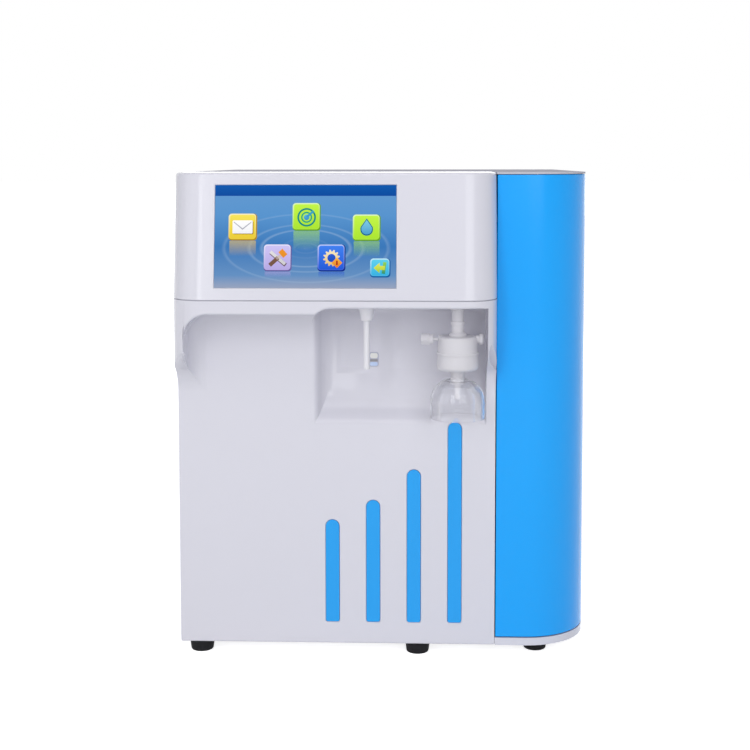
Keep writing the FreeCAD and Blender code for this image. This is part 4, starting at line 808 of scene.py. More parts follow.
class Look(Protocol):
    """Anything that can make a material."""

    def build(self) -> bpy.types.Material:
        """Return the material."""


def stand_for(piece: Mesh, *nodes: str, finish: Look | None = None) -> None:
    """Dress a piece and let it stand for nodes of the frame, on the body that carries them."""
    add_to(piece, nodes[0], finish)
    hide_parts(*nodes)


def stand_traced(node: str, name: str, ease: float, bend: float = SHARP, steps: int = 2,
                 finish: Look | None = None) -> None:
    """Let a copy of a node's mesh, with its sharp edges rounded, stand for the node."""
    stand_for(soften(traced(node, name), ease, steps, bend), node, finish=finish)


def add_to(piece: Mesh, node: str, finish: Look | None = None) -> None:
    """Shade and dress a piece, and let it ride on the body that carries a node, beside that node.

    Args:
        piece: The finished shape.
        node: The node that it belongs to.
        finish: Its finish, or the one of the node's slot.
    """
    hold(piece)
    bpy.ops.object.shade_smooth_by_angle(angle=math.radians(SMOOTH))
    apply(piece, "WEIGHTED_NORMAL", keep_sharp=True)
    piece.data.materials.clear()
    piece.data.materials.append((finish or SLOT_FINISHES[SLOTS[node]]).build())
    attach(piece, BODIES[node])
    LOG.info("%s on %s, %d faces", piece.name, BODIES[node], len(piece.data.polygons))


# ---------------------------------------------------------------- front panel

@dataclass
class FrontPanel:
    """The moulded front with its brow, recess, niche, bar grooves and finger notch.

    The swoop is the brow's lower and upper height and its radius; the recess and the niche are each
    a left edge, a roof and a radius. The scoop is the niche's back in depth and height, and the roll
    is the section of the niche's left wall, from its edge and the face. The notch is the middle and
    the radius of the finger hold.
    """

    left: float = -202.5
    right: float = 110.5
    brow: float = -250.0
    face: float = -202.0
    back: float = -162.0
    foot: float = 11.0
    top: float = 358.5
    swoop: Point = (280.0, 310.0, 30.0)
    corner: float = 32.0
    recess: Point = (-190.1, 345.2, 24.0)
    recess_foot: float = 250.0
    cove: float = 17.0
    niche: Point = (-62.0, 351.5, 17.0)
    niche_foot: float = 200.0
    niche_flare: Corner = (8.0, 6.0)
    rim_right: float = 101.4
    rim_round: float = 2.6
    scoop: tuple[Corner, ...] = (
        (-202.4, 230.6), (-201.4, 233.8), (-198.6, 237.6), (-193.6, 242.6), (-187, 249.5), (-177, 282),
        (-172, 351.5))
    scoop_round: float = 30.0
    roll: tuple[Corner, ...] = (
        (-8.0, -0.5), (-5.0, 0.8), (-2.6, 3.4), (-1.0, 7.0), (0.8, 11.5), (4.0, 16.0), (8.5, 20.2),
        (14.5, 24.0), (22.0, 27.0), (32.0, 29.4), (44.0, 31.0), (60.0, 31.6))
    notch: Point = (127.2, 307.0, 24.7)
    notch_deep: float = 58.0
    notch_wide: float = 70.0
    notch_slope: tuple[Corner, ...] = (
        (-256.0, 270.0), (-200.0, 276.0), (-238.0, 318.0), (-238.0, 345.0), (-256.0, 345.0))
    bar_tops: tuple[float, ...] = (136.3, 156.3, 187.0, 234.7)
    bar_first: float = -50.1
    bar_pitch: float = 40.3
    bar_foot: float = 33.4
    bar_width: float = 13.4
    bar_depth: Corner = (-202.8, -200.8)
    groove_depth: Corner = (-210.0, -200.75)
    groove_room: float = 0.25
    wall: float = 3.0
    past: float = 3.0

    def build(self) -> None:
        """Build the panel and the four bars in its grooves."""
        orders = range(len(self.bar_tops))
        panel = self.form(0)
        bevel(panel, 2.0, lambda spot: spot.high.z < self.foot + 0.5 and spot.high.y < self.back - 1)
        score(panel, Axis.RIGHT, [self.bar_first + order * self.bar_pitch for order in orders])
        grooves = [self.bar(f"groove_{order + 1}", order, self.groove_room, *self.groove_depth)
                   for order in orders]
        hub, height, radius = self.notch
        notch = drum("notch_tool", (hub, self.brow - self.past, height), radius, self.notch_deep,
                     Axis.REAR)
        slope = prism("slope_tool", Axis.RIGHT, self.rim_right - 9, self.notch_wide,
                      self.notch_slope)
        combine(notch, slope, way="INTERSECT")
        combine(panel, join("grooves", *grooves), notch)
        bevel(panel, 0.8, lambda spot: spot.high.z < 240 and spot.high.y < self.back - 1
              or spot.low.x > self.rim_right and spot.high.y < self.brow + 12, 2)
        inner = self.form(self.wall)
        rib = block("rib_keep", (self.rim_right - self.wall, -260, 0), (self.right, -150, 380))
        combine(panel, combine(inner, rib))
        stand_for(panel, "front_panel")
        for order in orders:
            bar = self.bar(f"bar_inlay_{order + 1}", order, 0, *self.bar_depth)
            bevel(bar, 0.7, lambda spot: spot.high.y < self.bar_depth[0] + 0.1)
            stand_for(bar, f"accent_bar_{order + 1}")

    def is_rim(self, spot: Spot) -> bool:
        """Say whether an edge belongs to the front rim of the recess or the niche."""
        return (self.left + 0.5 < spot.low.x < self.rim_right - 8 and spot.high.x < self.right - 0.5
                and spot.high.z < self.top - 0.5 and spot.low.z > self.niche_foot
                and spot.high.y < self.face - 21)

    def form(self, inset: float) -> Mesh:
        """Make the outside, or the inside when inset by a wall, as a solid.

        Args:
            inset: How far its faces lie inside the panel's outside.

        Returns:
            The solid.
        """
        low, high, radius = self.swoop
        lean = math.atan2(self.face - self.brow, high - low)
        shift = inset * math.tan(lean / 2)
        behind, above, below = self.back + 2 * inset, self.top + 2 * inset, self.foot - 2 * inset
        left, right, brow, face = self.left + inset, self.right - inset, self.brow + inset, self.face + inset
        rim = self.rim_right + inset
        front, deep = self.brow - self.past, face - 0.02 - self.brow + self.past
        body = prism(f"front_{inset:.0f}", Axis.RIGHT, left - 1, right - left + 2, [
            (behind, below), (face, below), (face, low + shift), (brow, high + shift), (brow, above),
            (behind, above)], {2: radius + inset, 3: radius - inset})
        plan = prism("plan_tool", Axis.UP, below - 1, above - below + 2,
                     rectangle(left, brow, right, behind + 1), dict.fromkeys((0, 1), self.corner - inset))
        combine(body, plan, way="INTERSECT")
        edge, roof, bend = self.recess
        recess = prism("recess_tool", Axis.REAR, front, deep,
                       rectangle(edge - inset, self.recess_foot, rim, roof + inset), {3: bend + inset})
        if not inset:
            bevel(recess, self.cove, lambda spot: spot.low.y > face - 0.1
                  and spot.high.z > self.recess_foot + 5 and spot.low.x < self.rim_right - 2, 8)
        edge, roof, bend = self.niche
        edge, roof = edge - self.niche_flare[0] - inset, roof + inset
        bend += self.niche_flare[1] + inset
        opening = rectangle(edge, self.niche_foot, rim, roof)
        combine(recess, prism("mouth_tool", Axis.REAR, front, deep, opening, {3: bend}), way="UNION")
        combine(body, recess)
        if not inset:
            bevel(body, self.rim_round, self.is_rim, 4)
        steps = [(y + inset, z) for y, z in self.scoop[:-1]] + [(self.scoop[-1][0] + inset, roof)]
        scoop = prism("scoop_tool", Axis.RIGHT, edge - 12, self.rim_right - edge + 16,
                      [(face - 6, steps[0][1]), *steps, (face - 6, roof)],
                      {5: self.scoop_round, 6: self.scoop_round, 7: 12 + inset}, steps=8)
        window = prism("window_tool", Axis.REAR, face - 0.5, 60, opening, {3: bend})
        wall = prism("wall_tool", Axis.UP, 190, 190, [
            *((self.niche[0] + across - inset, face - inset + deeper) for across, deeper in self.roll),
            (self.right, face + self.roll[-1][1]), (self.right, face + self.roll[0][1])])
        combine(scoop, window, wall, way="INTERSECT")
        return combine(body, scoop)

    def bar(self, name: str, order: int, room: float, near: float, far: float) -> Mesh:
        """Make one bar's shape with a rounded head, or its groove when given room.

        Args:
            name: The piece's name.
            order: Which bar it is, from the left.
            room: How much larger than the bar it is on each side.
            near: Where it starts in depth.
            far: Where it ends in depth.

        Returns:
            The bar or groove.
        """
        middle = self.bar_first + order * self.bar_pitch
        half = self.bar_width / 2 + room
        corners = rectangle(middle - half, self.bar_foot - room, middle + half, self.bar_tops[order] + room)
        return prism(name, Axis.REAR, near, far - near, corners, {0: 2, 1: 2, 2: half - 0.02, 3: half - 0.02},
                     steps=10)


# ---------------------------------------------------------------- screen head

@dataclass
class ScreenHead:
    """The leaning head with its screen opening, given in the leaning face as left, foot, width, height."""

    left: float = -202.5
    right: float = 110.5
    brow: float = -250.0
    back: float = -120.0
    foot: float = 359.1
    top: float = 480.0
    tilt: float = math.radians(9.7)
    corner: float = 32.0
    screen: tuple[float, float, float, float] = (43.4, 12.2, 173.0, 98.5)
    screen_room: float = 0.3
    seal: Corner = (1.5, 2.7)
    seal_height: float = 1.2
    wall: float = 3.0

    def build(self) -> None:
        """Build the shell with the opening for the screen, and the seal under it."""
        shell = self.form(0)
        bevel(shell, 2.8, lambda spot: spot.low.z > self.top - 1, 5)
        bevel(shell, 1.0, lambda spot: spot.high.y < self.back - 1 and spot.high.z < self.foot + 1)
        combine(shell, self.form(self.wall))
        combine(shell, self.opening())
        bevel(shell, 0.8, lambda spot: self.left + 30 < spot.low.x and spot.high.x < 20
              and spot.low.z > self.foot + 5 and spot.high.z < self.top - 5
              and spot.low.y < -222 and spot.normal.y < -0.2, 2)
        stand_for(shell, "head_shell")
        outer, inner = self.seal
        ring = self.ring("seam_seal", outer, self.foot - 0.9, self.seal_height, self.back)
        core = self.ring("seal_core", inner, self.foot - 2, 4, self.back + 2)
        add_to(combine(ring, core), "head_shell", GASKET)

    def ring(self, name: str, inset: float, foot: float, tall: float, back: float) -> Mesh:
        """Make a flat slice of the head's plan.

        Args:
            name: The piece's name.
            inset: How far it lies inside the head's sides and front.
            foot: Its lowest height.
            tall: How tall it is.
            back: Where it ends in depth.

        Returns:
            The slice.
        """
        corners = rectangle(self.left + inset, self.brow + inset, self.right - inset, back)
        return prism(name, Axis.UP, foot, tall, corners, dict.fromkeys((0, 1), self.corner - inset))

    def form(self, inset: float) -> Mesh:
        """Make the outside, or the inside when inset by a wall, as a leaning solid.

        Args:
            inset: How far its faces lie inside the head's outside.

        Returns:
            The solid.
        """
        low, high, back = self.foot - 2 * inset, self.top - inset, self.back + 2 * inset
        near = self.brow + inset / math.cos(self.tilt) - 2 * inset * math.tan(self.tilt)
        body = block(f"head_{inset:.0f}", (self.left + inset, near, low), (self.right - inset, back, high))
        with editing(body):
            pick(body, Part.VERT, lambda spot: spot.high.z > high - NEAR)
            bpy.ops.transform.translate(value=(0, (high - low) * math.tan(self.tilt) * MM, 0))
        with editing(body):
            pick(body, Part.EDGE, lambda spot: spot.high.z - spot.low.z > 50
                 and spot.high.y < self.back - 5)
            bpy.ops.mesh.bevel(offset=(self.corner - inset) * MM, segments=16, affect="EDGES")
        with editing(body, everything=True):
            bpy.ops.mesh.bisect(plane_co=(0, back * MM, 0), plane_no=(0, 1, 0), use_fill=True,
                                clear_outer=True)
        return body

    def on_face(self, across: float, up: float, inward: float = 0) -> Vector:
        """Return a point of the leaning face, in millimetres."""
        return Vector((self.left + across,
                       self.brow + up * math.sin(self.tilt) + inward * math.cos(self.tilt),
                       self.foot + up * math.cos(self.tilt) - inward * math.sin(self.tilt)))

    def opening(self) -> Mesh:
        """Return the tool that cuts the screen's opening, a block that lies in the leaning face."""
        across, up, width, height = self.screen
        near, far = -6.0, 9.0
        middle = self.on_face(across + width / 2, up + height / 2, (near + far) / 2)
        half = Vector((width + 2 * self.screen_room, far - near, height + 2 * self.screen_room)) / 2
        return block("opening_tool", middle - half, middle + half, (-self.tilt, 0, 0))


# ---------------------------------------------------------------- side door

@dataclass
class SideDoor:
    """The curved door round the machine's right side, with its ribs and hinge column."""

    left: float = 111.5
    right: float = 202.5
    face: float = -202.0
    hinge: Corner = (193.0, 218.2)
    foot: float = 19.6
    top: float = 477.7
    corner: float = 61.5
    wall: float = 3.0
    flange: float = 14.0
    rib_inset: float = 0.6
    rib_deep: Corner = (9.0, 13.0)
    rib_tall: float = 2.8

    def build(self) -> None:
        """Build the door as one moulding."""
        tall = self.top - self.foot
        door = soften(self.strip("door_skin", 0, self.wall, self.flange, self.foot, tall), 0.7, 2, 50)
        ribs = [soften(self.strip(name, self.rib_inset, *self.rib_deep, start, self.rib_tall), 0.5, 2, 50)
                for name, start in (("low_rib", self.foot + 0.2), ("high_rib", self.top - 3))]
        column = lathe("column", (*self.hinge, self.foot), [
            (3.05, 0), (9, 0), (9.5, 0.5), (9.5, tall - 0.5), (9, tall), (3.05, tall), (3.05, 0)])
        stand_for(join("door_moulding", door, *ribs, column), "side_door")

    def strip(self, name: str, inset: float, thick: float, deep: float, start: float, tall: float) -> Mesh:
        """Make a strip of the door's plan: its flange, the front, the corner and the side.

        Args:
            name: The piece's name.
            inset: How far it lies inside the door's outside.
            thick: How far its inside lies from the door's outside.
            deep: How far the flange reaches back.
            start: Its lowest height.
            tall: How tall it is.

        Returns:
            The strip.
        """
        left, right, face, rear = self.left + inset, self.right - inset, self.face + inset, self.hinge[1]
        return prism(name, Axis.UP, start, tall, [
            (left, face), (right, face), (right, rear), (self.right - thick, rear),
            (self.right - thick, self.face + thick), (self.left + self.wall, self.face + thick),
            (self.left + self.wall, self.face + deep), (left, self.face + deep)],
            {1: self.corner - inset, 4: self.corner - thick}, steps=20)


# ---------------------------------------------------------------- lit screen

def light_screen(tree: Tree, colour: Socket) -> None:
    """Let a colour glow from the screen and stain it a little where the screen is dark."""
    feed(tree.nodes["Principled BSDF"], {
        "Emission Color": colour, "Emission Strength": 0.8, "Base Color": mix(tree, 0.2, (0, 0, 0), colour)})


def height_between(tree: Tree, low: float, high: float) -> Socket:
    """Make a value that runs from 0 at a low height to 1 at a high one.

    Args:
        tree: The material's nodes.
        low: The low height, in millimetres.
        high: The high height.

    Returns:
        The value.
    """
    place = add_node(tree, "TexCoord").outputs["Object"]
    height = add_node(tree, "SeparateXYZ", {"Vector": place}).outputs["Z"]
    span = {"Value": height, "From Min": low * MM, "From Max": high * MM}
    return add_node(tree, "MapRange", span).outputs["Result"]


@dataclass(frozen=True)
class ScreenInk:
    """A lit colour on the screen that changes, or fades out, from its top to its foot."""

    name: str
    top: Colour
    foot: Colour
    low: float
    high: float
    solid: float = 1.0
    fades: bool = False

    def build(self) -> bpy.types.Material:
        """Return the material, making it the first time it is asked for."""
        if self.name in MADE:
            return MADE[self.name]
        material = Finish(self.name, self.top, 0.35, specular=0.05, relief=0.0).build()
        tree = material.node_tree
        height = height_between(tree, self.low, self.high)
        light_screen(tree, mix(tree, height, self.foot, self.top))
        if self.fades:
            feed(tree.nodes["Principled BSDF"], {"Alpha": reckon(tree, "MULTIPLY", height, self.solid)})
        return material


@dataclass(frozen=True)
class StillWater:
    """The screen's background: a blue fade with flat rings that spread over still water."""

    name: str = "still_water"
    low: float = 371.2
    high: float = 468.2
    middle: Corner = (-71.8, 408.4)
    flatten: float = 0.41
    reach: float = 90.0
    fade: tuple[tuple[float, Colour], ...] = (
        (0.0, srgb(150, 162, 188)), (0.12, srgb(98, 142, 192)), (0.4, srgb(56, 118, 183)),
        (0.7, srgb(86, 146, 204)), (1.0, srgb(98, 152, 206)))
    crest: Colour = srgb(196, 222, 240)
    heart: float = 0.06
    rings: tuple[Corner, ...] = ((11.0, 0.06), (22.0, 0.05), (42.0, 0.24), (54.0, 0.18), (78.0, 0.14))
    ring_edges: Corner = (2.2, 3.0)

    def build(self) -> bpy.types.Material:
        """Return the material, making it the first time it is asked for."""
        if self.name in MADE:
            return MADE[self.name]
        material = Finish(self.name, self.fade[2][1], 0.3, specular=0.05, relief=0.0).build()
        tree = material.node_tree
        sky = self.ramp(tree, self.fade, height_between(tree, self.low, self.high))
        light_screen(tree, mix(tree, self.ripple(tree), sky, self.crest))
        return material

    def ramp(self, tree: Tree, stops: Sequence[tuple[float, Colour]], value: Socket) -> Socket:
        """Make a colour that follows a value.

        Args:
            tree: The material's nodes.
            stops: The values and their colours, from the lowest.
            value: The value of 0 to 1.

        Returns:
            The colour.
        """
        node = add_node(tree, "ValToRGB", {"Fac": value})
        marks = node.color_ramp.elements
        marks[1].position = stops[-1][0]
        for at, colour in stops[1:-1]:
            marks.new(at).color = (*colour, 1)
        marks[0].color, marks[len(stops) - 1].color = (*stops[0][1], 1), (*stops[-1][1], 1)
        return node.outputs["Color"]

    def ripple(self, tree: Tree) -> Socket:
        """Make the mask of the rings, by the distance from their middle on a flattened plane.

        Args:
            tree: The material's nodes.

        Returns:
            The mask, brightest on the rings.
        """
        across, up = self.middle
        centred = add_node(tree, "Mapping", {
            "Vector": add_node(tree, "TexCoord").outputs["Object"],
            "Scale": (1 / MM, 0, 1 / MM / self.flatten), "Location": (-across, 0, -up / self.flatten)})
        far = add_node(tree, "VectorMath", {0: centred.outputs["Vector"]}, operation="LENGTH")
        part = add_node(tree, "MapRange", {"Value": far.outputs["Value"], "From Max": self.reach})
        dark, (before, after) = (0.0, 0.0, 0.0), self.ring_edges
        stops = [(0.0, (self.heart,) * 3)]
        for ring, bright in self.rings:
            stops += [((ring - before) / self.reach, dark), (ring / self.reach, (bright,) * 3),
                      ((ring + after) / self.reach, dark)]
        return self.ramp(tree, [*stops, (1.0, dark)], part.outputs["Result"])


@dataclass(frozen=True)
class Tile:
    """One touch tile of the picture, with its edges, colours and the height of its reflection."""

    name: str
    left: float
    low: float
    right: float
    high: float
    top: Colour
    foot: Colour
    rim: Colour
    mirror: float = 0.0


class Form(Enum):
    """The outline of a mark: an upright panel, a turned bar, a disc or ring, or free corners."""

    PANEL = "panel"
    BAR = "bar"
    DISC = "disc"
    PLATE = "plate"


@dataclass(frozen=True)
class Mark:
    """One flat shape of a tile's pictogram, measured from the tile's middle.

    Its sizes are a panel's left, low, right, high and radius; a bar's middle, half sizes and turn;
    a disc's middle, inner and outer radius; or a plate's corners. Without a foot colour it is a
    shade darker at its foot.
    """

    name: str
    form: Form
    sizes: tuple[float, ...] | tuple[Corner, ...]
    layer: int
    top: Levels
    foot: Levels | None
    low: float
    high: float
    rounds: Rounds | None = None


def drop(size: float) -> dict[str, object]:
    """Return the corners and rounds of a drop of a size."""
    corners = [(-6, -7.2), (6, -7.2), (6, 0.8), (0, 9.4), (-6, 0.8)]
    return {"sizes": tuple((across * size, up * size - 0.4) for across, up in corners),
            "rounds": {0: 5.8 * size, 1: 5.8 * size, 2: 3.4 * size, 4: 3.4 * size}}


MARKS: dict[str, tuple[Mark, ...]] = {
    "letter_tile": (
        Mark("letter_shade", Form.PANEL, (-9.2, -6.9, 10.2, 5.6, 1), 4,
             (160, 124, 20), (150, 112, 12), -7, 6),
        Mark("letter_sheet", Form.PANEL, (-9.8, -6.2, 9.4, 6.4, 1), 5,
             (255, 255, 255), (240, 240, 244), -7, 7),
        Mark("letter_fold", Form.PLATE, (
            (-8.6, 5.4), (-0.2, -1.2), (8.2, 5.4), (8.2, 4.2), (-0.2, -2.6), (-8.6, 4.2)),
            6, (190, 190, 200), (168, 168, 180), -3, 6)),
    "gauge_tile": (
        Mark("gauge_outer", Form.DISC, (0, -0.4, 7.2, 8.9), 4, (12, 138, 128), (12, 138, 128), -9, 9),
        Mark("gauge_inner", Form.DISC, (0, -0.4, 3.9, 5.3), 4, (28, 160, 132), (28, 160, 132), -9, 9),
        Mark("gauge_heart", Form.DISC, (0, -0.4, 0, 2.7), 5, (96, 190, 226), (42, 130, 200), -3.5, 2.5),
        Mark("gauge_hand", Form.BAR, (3.4, 2.8, 4.4, 1.1, 42), 6, (60, 170, 190), (60, 150, 200), 0, 6)),
    "drop_tile": (
        Mark("drop_edge", Form.PLATE, layer=4, top=(30, 118, 140), foot=(14, 92, 132), low=-8, high=8,
             **drop(1.0)),
        Mark("drop_body", Form.PLATE, layer=5, top=(128, 206, 232), foot=(62, 148, 200), low=-8, high=8,
             **drop(0.84))),
    "tool_tile": (
        Mark("tool_shade", Form.BAR, (0.4, -0.8, 9.4, 1.9, -40), 4, (110, 84, 96), None, -7, 7),
        Mark("tool_spanner", Form.BAR, (0, 0, 9.2, 1.5, -40), 5, (226, 224, 226), None, -7, 7),
        Mark("tool_handle", Form.BAR, (-3.6, -3.4, 5.4, 1.9, 42), 6, (128, 92, 74), None, -7, 7),
        Mark("tool_shaft", Form.BAR, (1.6, 1.4, 3.8, 1.2, 42), 6, (214, 196, 190), None, -7, 7),
        Mark("tool_head", Form.BAR, (4.9, 4.4, 2.6, 3.6, 42), 7, (238, 148, 40), None, -7, 7)),
    "gear_tile": (
        Mark("gear_wheel", Form.PLATE, tuple(star((0, 0), (6.1, 8.0, 8.0, 6.1), 48)), 4,
             (250, 236, 196), (228, 186, 108), -8, 8),
        Mark("gear_hub", Form.DISC, (0, 0, 0, 3.9), 5, (40, 92, 206), (24, 72, 190), -4, 4),
        Mark("gear_marker", Form.BAR, (5.2, -4.6, 3.6, 3.6, 45), 6,
             (252, 186, 62), (228, 112, 26), -9.7, 0.5),
        Mark("gear_point", Form.BAR, (5.2, -4.6, 0.8, 2.1, 0), 7, (186, 40, 26), (160, 30, 20), -7, -2)),
    "arrow_tile": (
        Mark("arrow_post", Form.BAR, (3.6, 0, 1.6, 5.6, -8), 4, (150, 210, 80), (34, 140, 110), -6, 6),
        Mark("arrow_head", Form.PLATE, (
            (-6.4, 0), (-0.6, 5), (-0.6, 2), (4.4, 2), (4.4, -2), (-0.6, -2), (-0.6, -5)),
            5, (236, 236, 96), (160, 200, 40), -5, 5)),
}


@dataclass
class ScreenPicture:
    """The lit picture in the head's opening: background, title band, tiles and pictograms."""

    head: ScreenHead = field(default_factory=ScreenHead)
    glass: float = 0.6
    glass_thick: float = 1.2
    band_foot: float = 88.1
    sheet: float = 0.12
    layer_pitch: float = 0.08
    round: float = 3.2
    tiles: tuple[Tile, ...] = (
        Tile("letter_tile", 13.2, 45.2, 40.5, 71.0, srgb(247, 228, 92), srgb(232, 200, 48),
             srgb(176, 138, 22), 15),
        Tile("gauge_tile", 74.3, 54.6, 101.1, 81.2, srgb(196, 244, 72), srgb(168, 226, 44),
             srgb(104, 160, 24), 18),
        Tile("drop_tile", 131.7, 44.9, 158.2, 70.2, srgb(196, 244, 72), srgb(168, 226, 44),
             srgb(104, 160, 24), 15),
        Tile("tool_tile", 47.3, 15.8, 73.8, 41.5, srgb(206, 196, 244), srgb(180, 166, 224),
             srgb(104, 96, 158), 6),
        Tile("gear_tile", 98.4, 15.8, 125.0, 41.5, srgb(64, 128, 240), srgb(26, 84, 212),
             srgb(12, 46, 138), 6),
        Tile("arrow_tile", 148.4, 10.2, 167.7, 28.3, srgb(96, 210, 238), srgb(44, 172, 222),
             srgb(16, 92, 158)),
    )

    def build(self) -> None:
        """Build the glass with its background, then what is shown on it."""
        _, _, width, height = self.head.screen
        glass = block("screen_water", (0, self.glass, 0), (width, self.glass + self.glass_thick, height))
        stand_for(self.lay(soften(glass, 0.25)), "screen_glass", finish=StillWater())
        band = block("title_band", (0.1, 0.42, self.band_foot), (width - 0.1, 0.8, height - 0.1))
        self.show(soften(band, 0.1), srgb(4, 88, 172), srgb(0, 72, 156), self.band_foot, height)
        for tile in self.tiles:
            self.add_tile(tile)
        for tile in self.tiles:
            for mark in MARKS[tile.name]:
                self.add_mark(mark, (tile.left + tile.right) / 2, (tile.low + tile.high) / 2)

    def lay(self, piece: Mesh) -> Mesh:
        """Lean a piece that was made upright from the screen's lower left into its place."""
        across, up, _, _ = self.head.screen
        return place(piece, self.head.on_face(across, up), (-self.head.tilt, 0, 0))

    def show(self, piece: Mesh, top: Colour, foot: Colour, low: float, high: float,
             solid: float = 1.0, fades: bool = False) -> None:
        """Lay a flat piece on the glass and light it.

        Args:
            piece: The piece, upright from the screen's lower left.
            top: Its colour at the top.
            foot: Its colour at the foot.
            low: Its foot's height on the screen.
            high: Its top's height on the screen.
            solid: How solid it is at the top.
            fades: Whether it fades to nothing at the foot.
        """
        lift = self.head.screen[1]
        heights = [self.head.on_face(0, lift + up).z for up in (low, high)]
        ink = ScreenInk(f"lit_{piece.name}", top, foot, *heights, solid, fades)
        add_to(self.lay(piece), "screen_glass", finish=ink)

    def near(self, layer: int) -> float:
        """Return how deep the face of a layer lies."""
        return self.glass - 0.1 - self.layer_pitch * layer

    def plate(self, name: str, corners: Sequence[Corner], layer: int, rounds: Rounds | None = None) -> Mesh:
        """Return a thin plate on the glass, one of several layers deep."""
        return prism(name, Axis.REAR, self.near(layer), self.sheet, corners, rounds, 6)

    def panel(self, name: str, edges: Sequence[float], layer: int, radius: float) -> Mesh:
        """Return a plate between its left, low, right and high edge, with four rounded corners."""
        return self.plate(name, rectangle(*edges), layer, dict.fromkeys(range(4), radius))

    def bar(self, name: str, middle: Corner, half: Corner, turn: float, layer: int) -> Mesh:
        """Make a plate that is turned about its middle.

        Args:
            name: The piece's name.
            middle: Its middle.
            half: Half its width and height.
            turn: Its turn in degrees.
            layer: The layer that it lies in.

        Returns:
            The plate.
        """
        way, side = Vector((1, 0)), Vector((0, 1))
        for arm in (way, side):
            arm.rotate(Matrix.Rotation(math.radians(turn), 2))
        corners = [Vector(middle) + way * a * half[0] + side * b * half[1]
                   for a, b in rectangle(-1, -1, 1, 1)]
        return self.plate(name, [tuple(corner) for corner in corners], layer)

    def disc(self, name: str, middle: Corner, inner: float, outer: float, layer: int) -> Mesh:
        """Make a flat disc, or a ring when the inner radius isn't nothing.

        Args:
            name: The piece's name.
            middle: Its middle.
            inner: Its inner radius.
            outer: Its outer radius.
            layer: The layer that it lies in.

        Returns:
            The disc or ring.
        """
        profile = [(inner, 0), (outer, 0), (outer, self.sheet), (inner, self.sheet)]
        return lathe(name, (middle[0], self.near(layer), middle[1]), profile + profile[:1] * bool(inner),
                     Axis.REAR, sides=40)

    def add_tile(self, tile: Tile) -> None:
        """Add a tile: its dark rim, its bright top and its reflection.

        Args:
            tile: The tile to add.
        """
        name, left, low, right, high = tile.name, tile.left, tile.low, tile.right, tile.high
        bright = tuple(c + (1 - c) * 0.45 for c in tile.top)
        edge = self.panel(f"{name}_edge", (left, low, right, high), 1, self.round)
        self.show(edge, tile.rim, tile.rim, low, high)
        glow = self.panel(f"{name}_glow", (left, low + 1.3, right - 1.1, high), 2, self.round)
        self.show(glow, bright, tile.foot, low, high)
        top = self.panel(f"{name}_top", (left + 1.3, low + 2.1, right - 1.7, high - 1.2), 3, self.round - 1)
        self.show(top, tile.top, tile.foot, low, high)
        if tile.mirror:
            foot = low - tile.mirror
            image = self.panel(f"{name}_mirror", (left + 1, foot, right - 1, low - 0.3), 0, 0.4)
            self.show(image, tile.foot, tile.foot, foot, low, 0.5, fades=True)

    def add_mark(self, mark: Mark, across: float, up: float) -> None:
        """Add one shape of a pictogram.

        Args:
            mark: The shape.
            across: The tile's middle, from the screen's left.
            up: The tile's middle, from the screen's foot.
        """
        name, sizes, layer = mark.name, mark.sizes, mark.layer
        if mark.form is Form.PLATE:
            piece = self.plate(name, [(across + a, up + b) for a, b in sizes], layer, mark.rounds)
        elif mark.form is Form.PANEL:
            left, low, right, high, radius = sizes
            piece = self.panel(name, (across + left, up + low, across + right, up + high), layer, radius)
        elif mark.form is Form.BAR:
            piece = self.bar(name, (across + sizes[0], up + sizes[1]), sizes[2:4], sizes[4], layer)
        else:
            piece = self.disc(name, (across + sizes[0], up + sizes[1]), *sizes[2:], layer)
        top = srgb(*mark.top)
        foot = srgb(*mark.foot) if mark.foot else tuple(c * 0.8 for c in top)
        self.show(piece, top, foot, up + mark.low, up + mark.high)


# ---------------------------------------------------------------- dispensing outlet

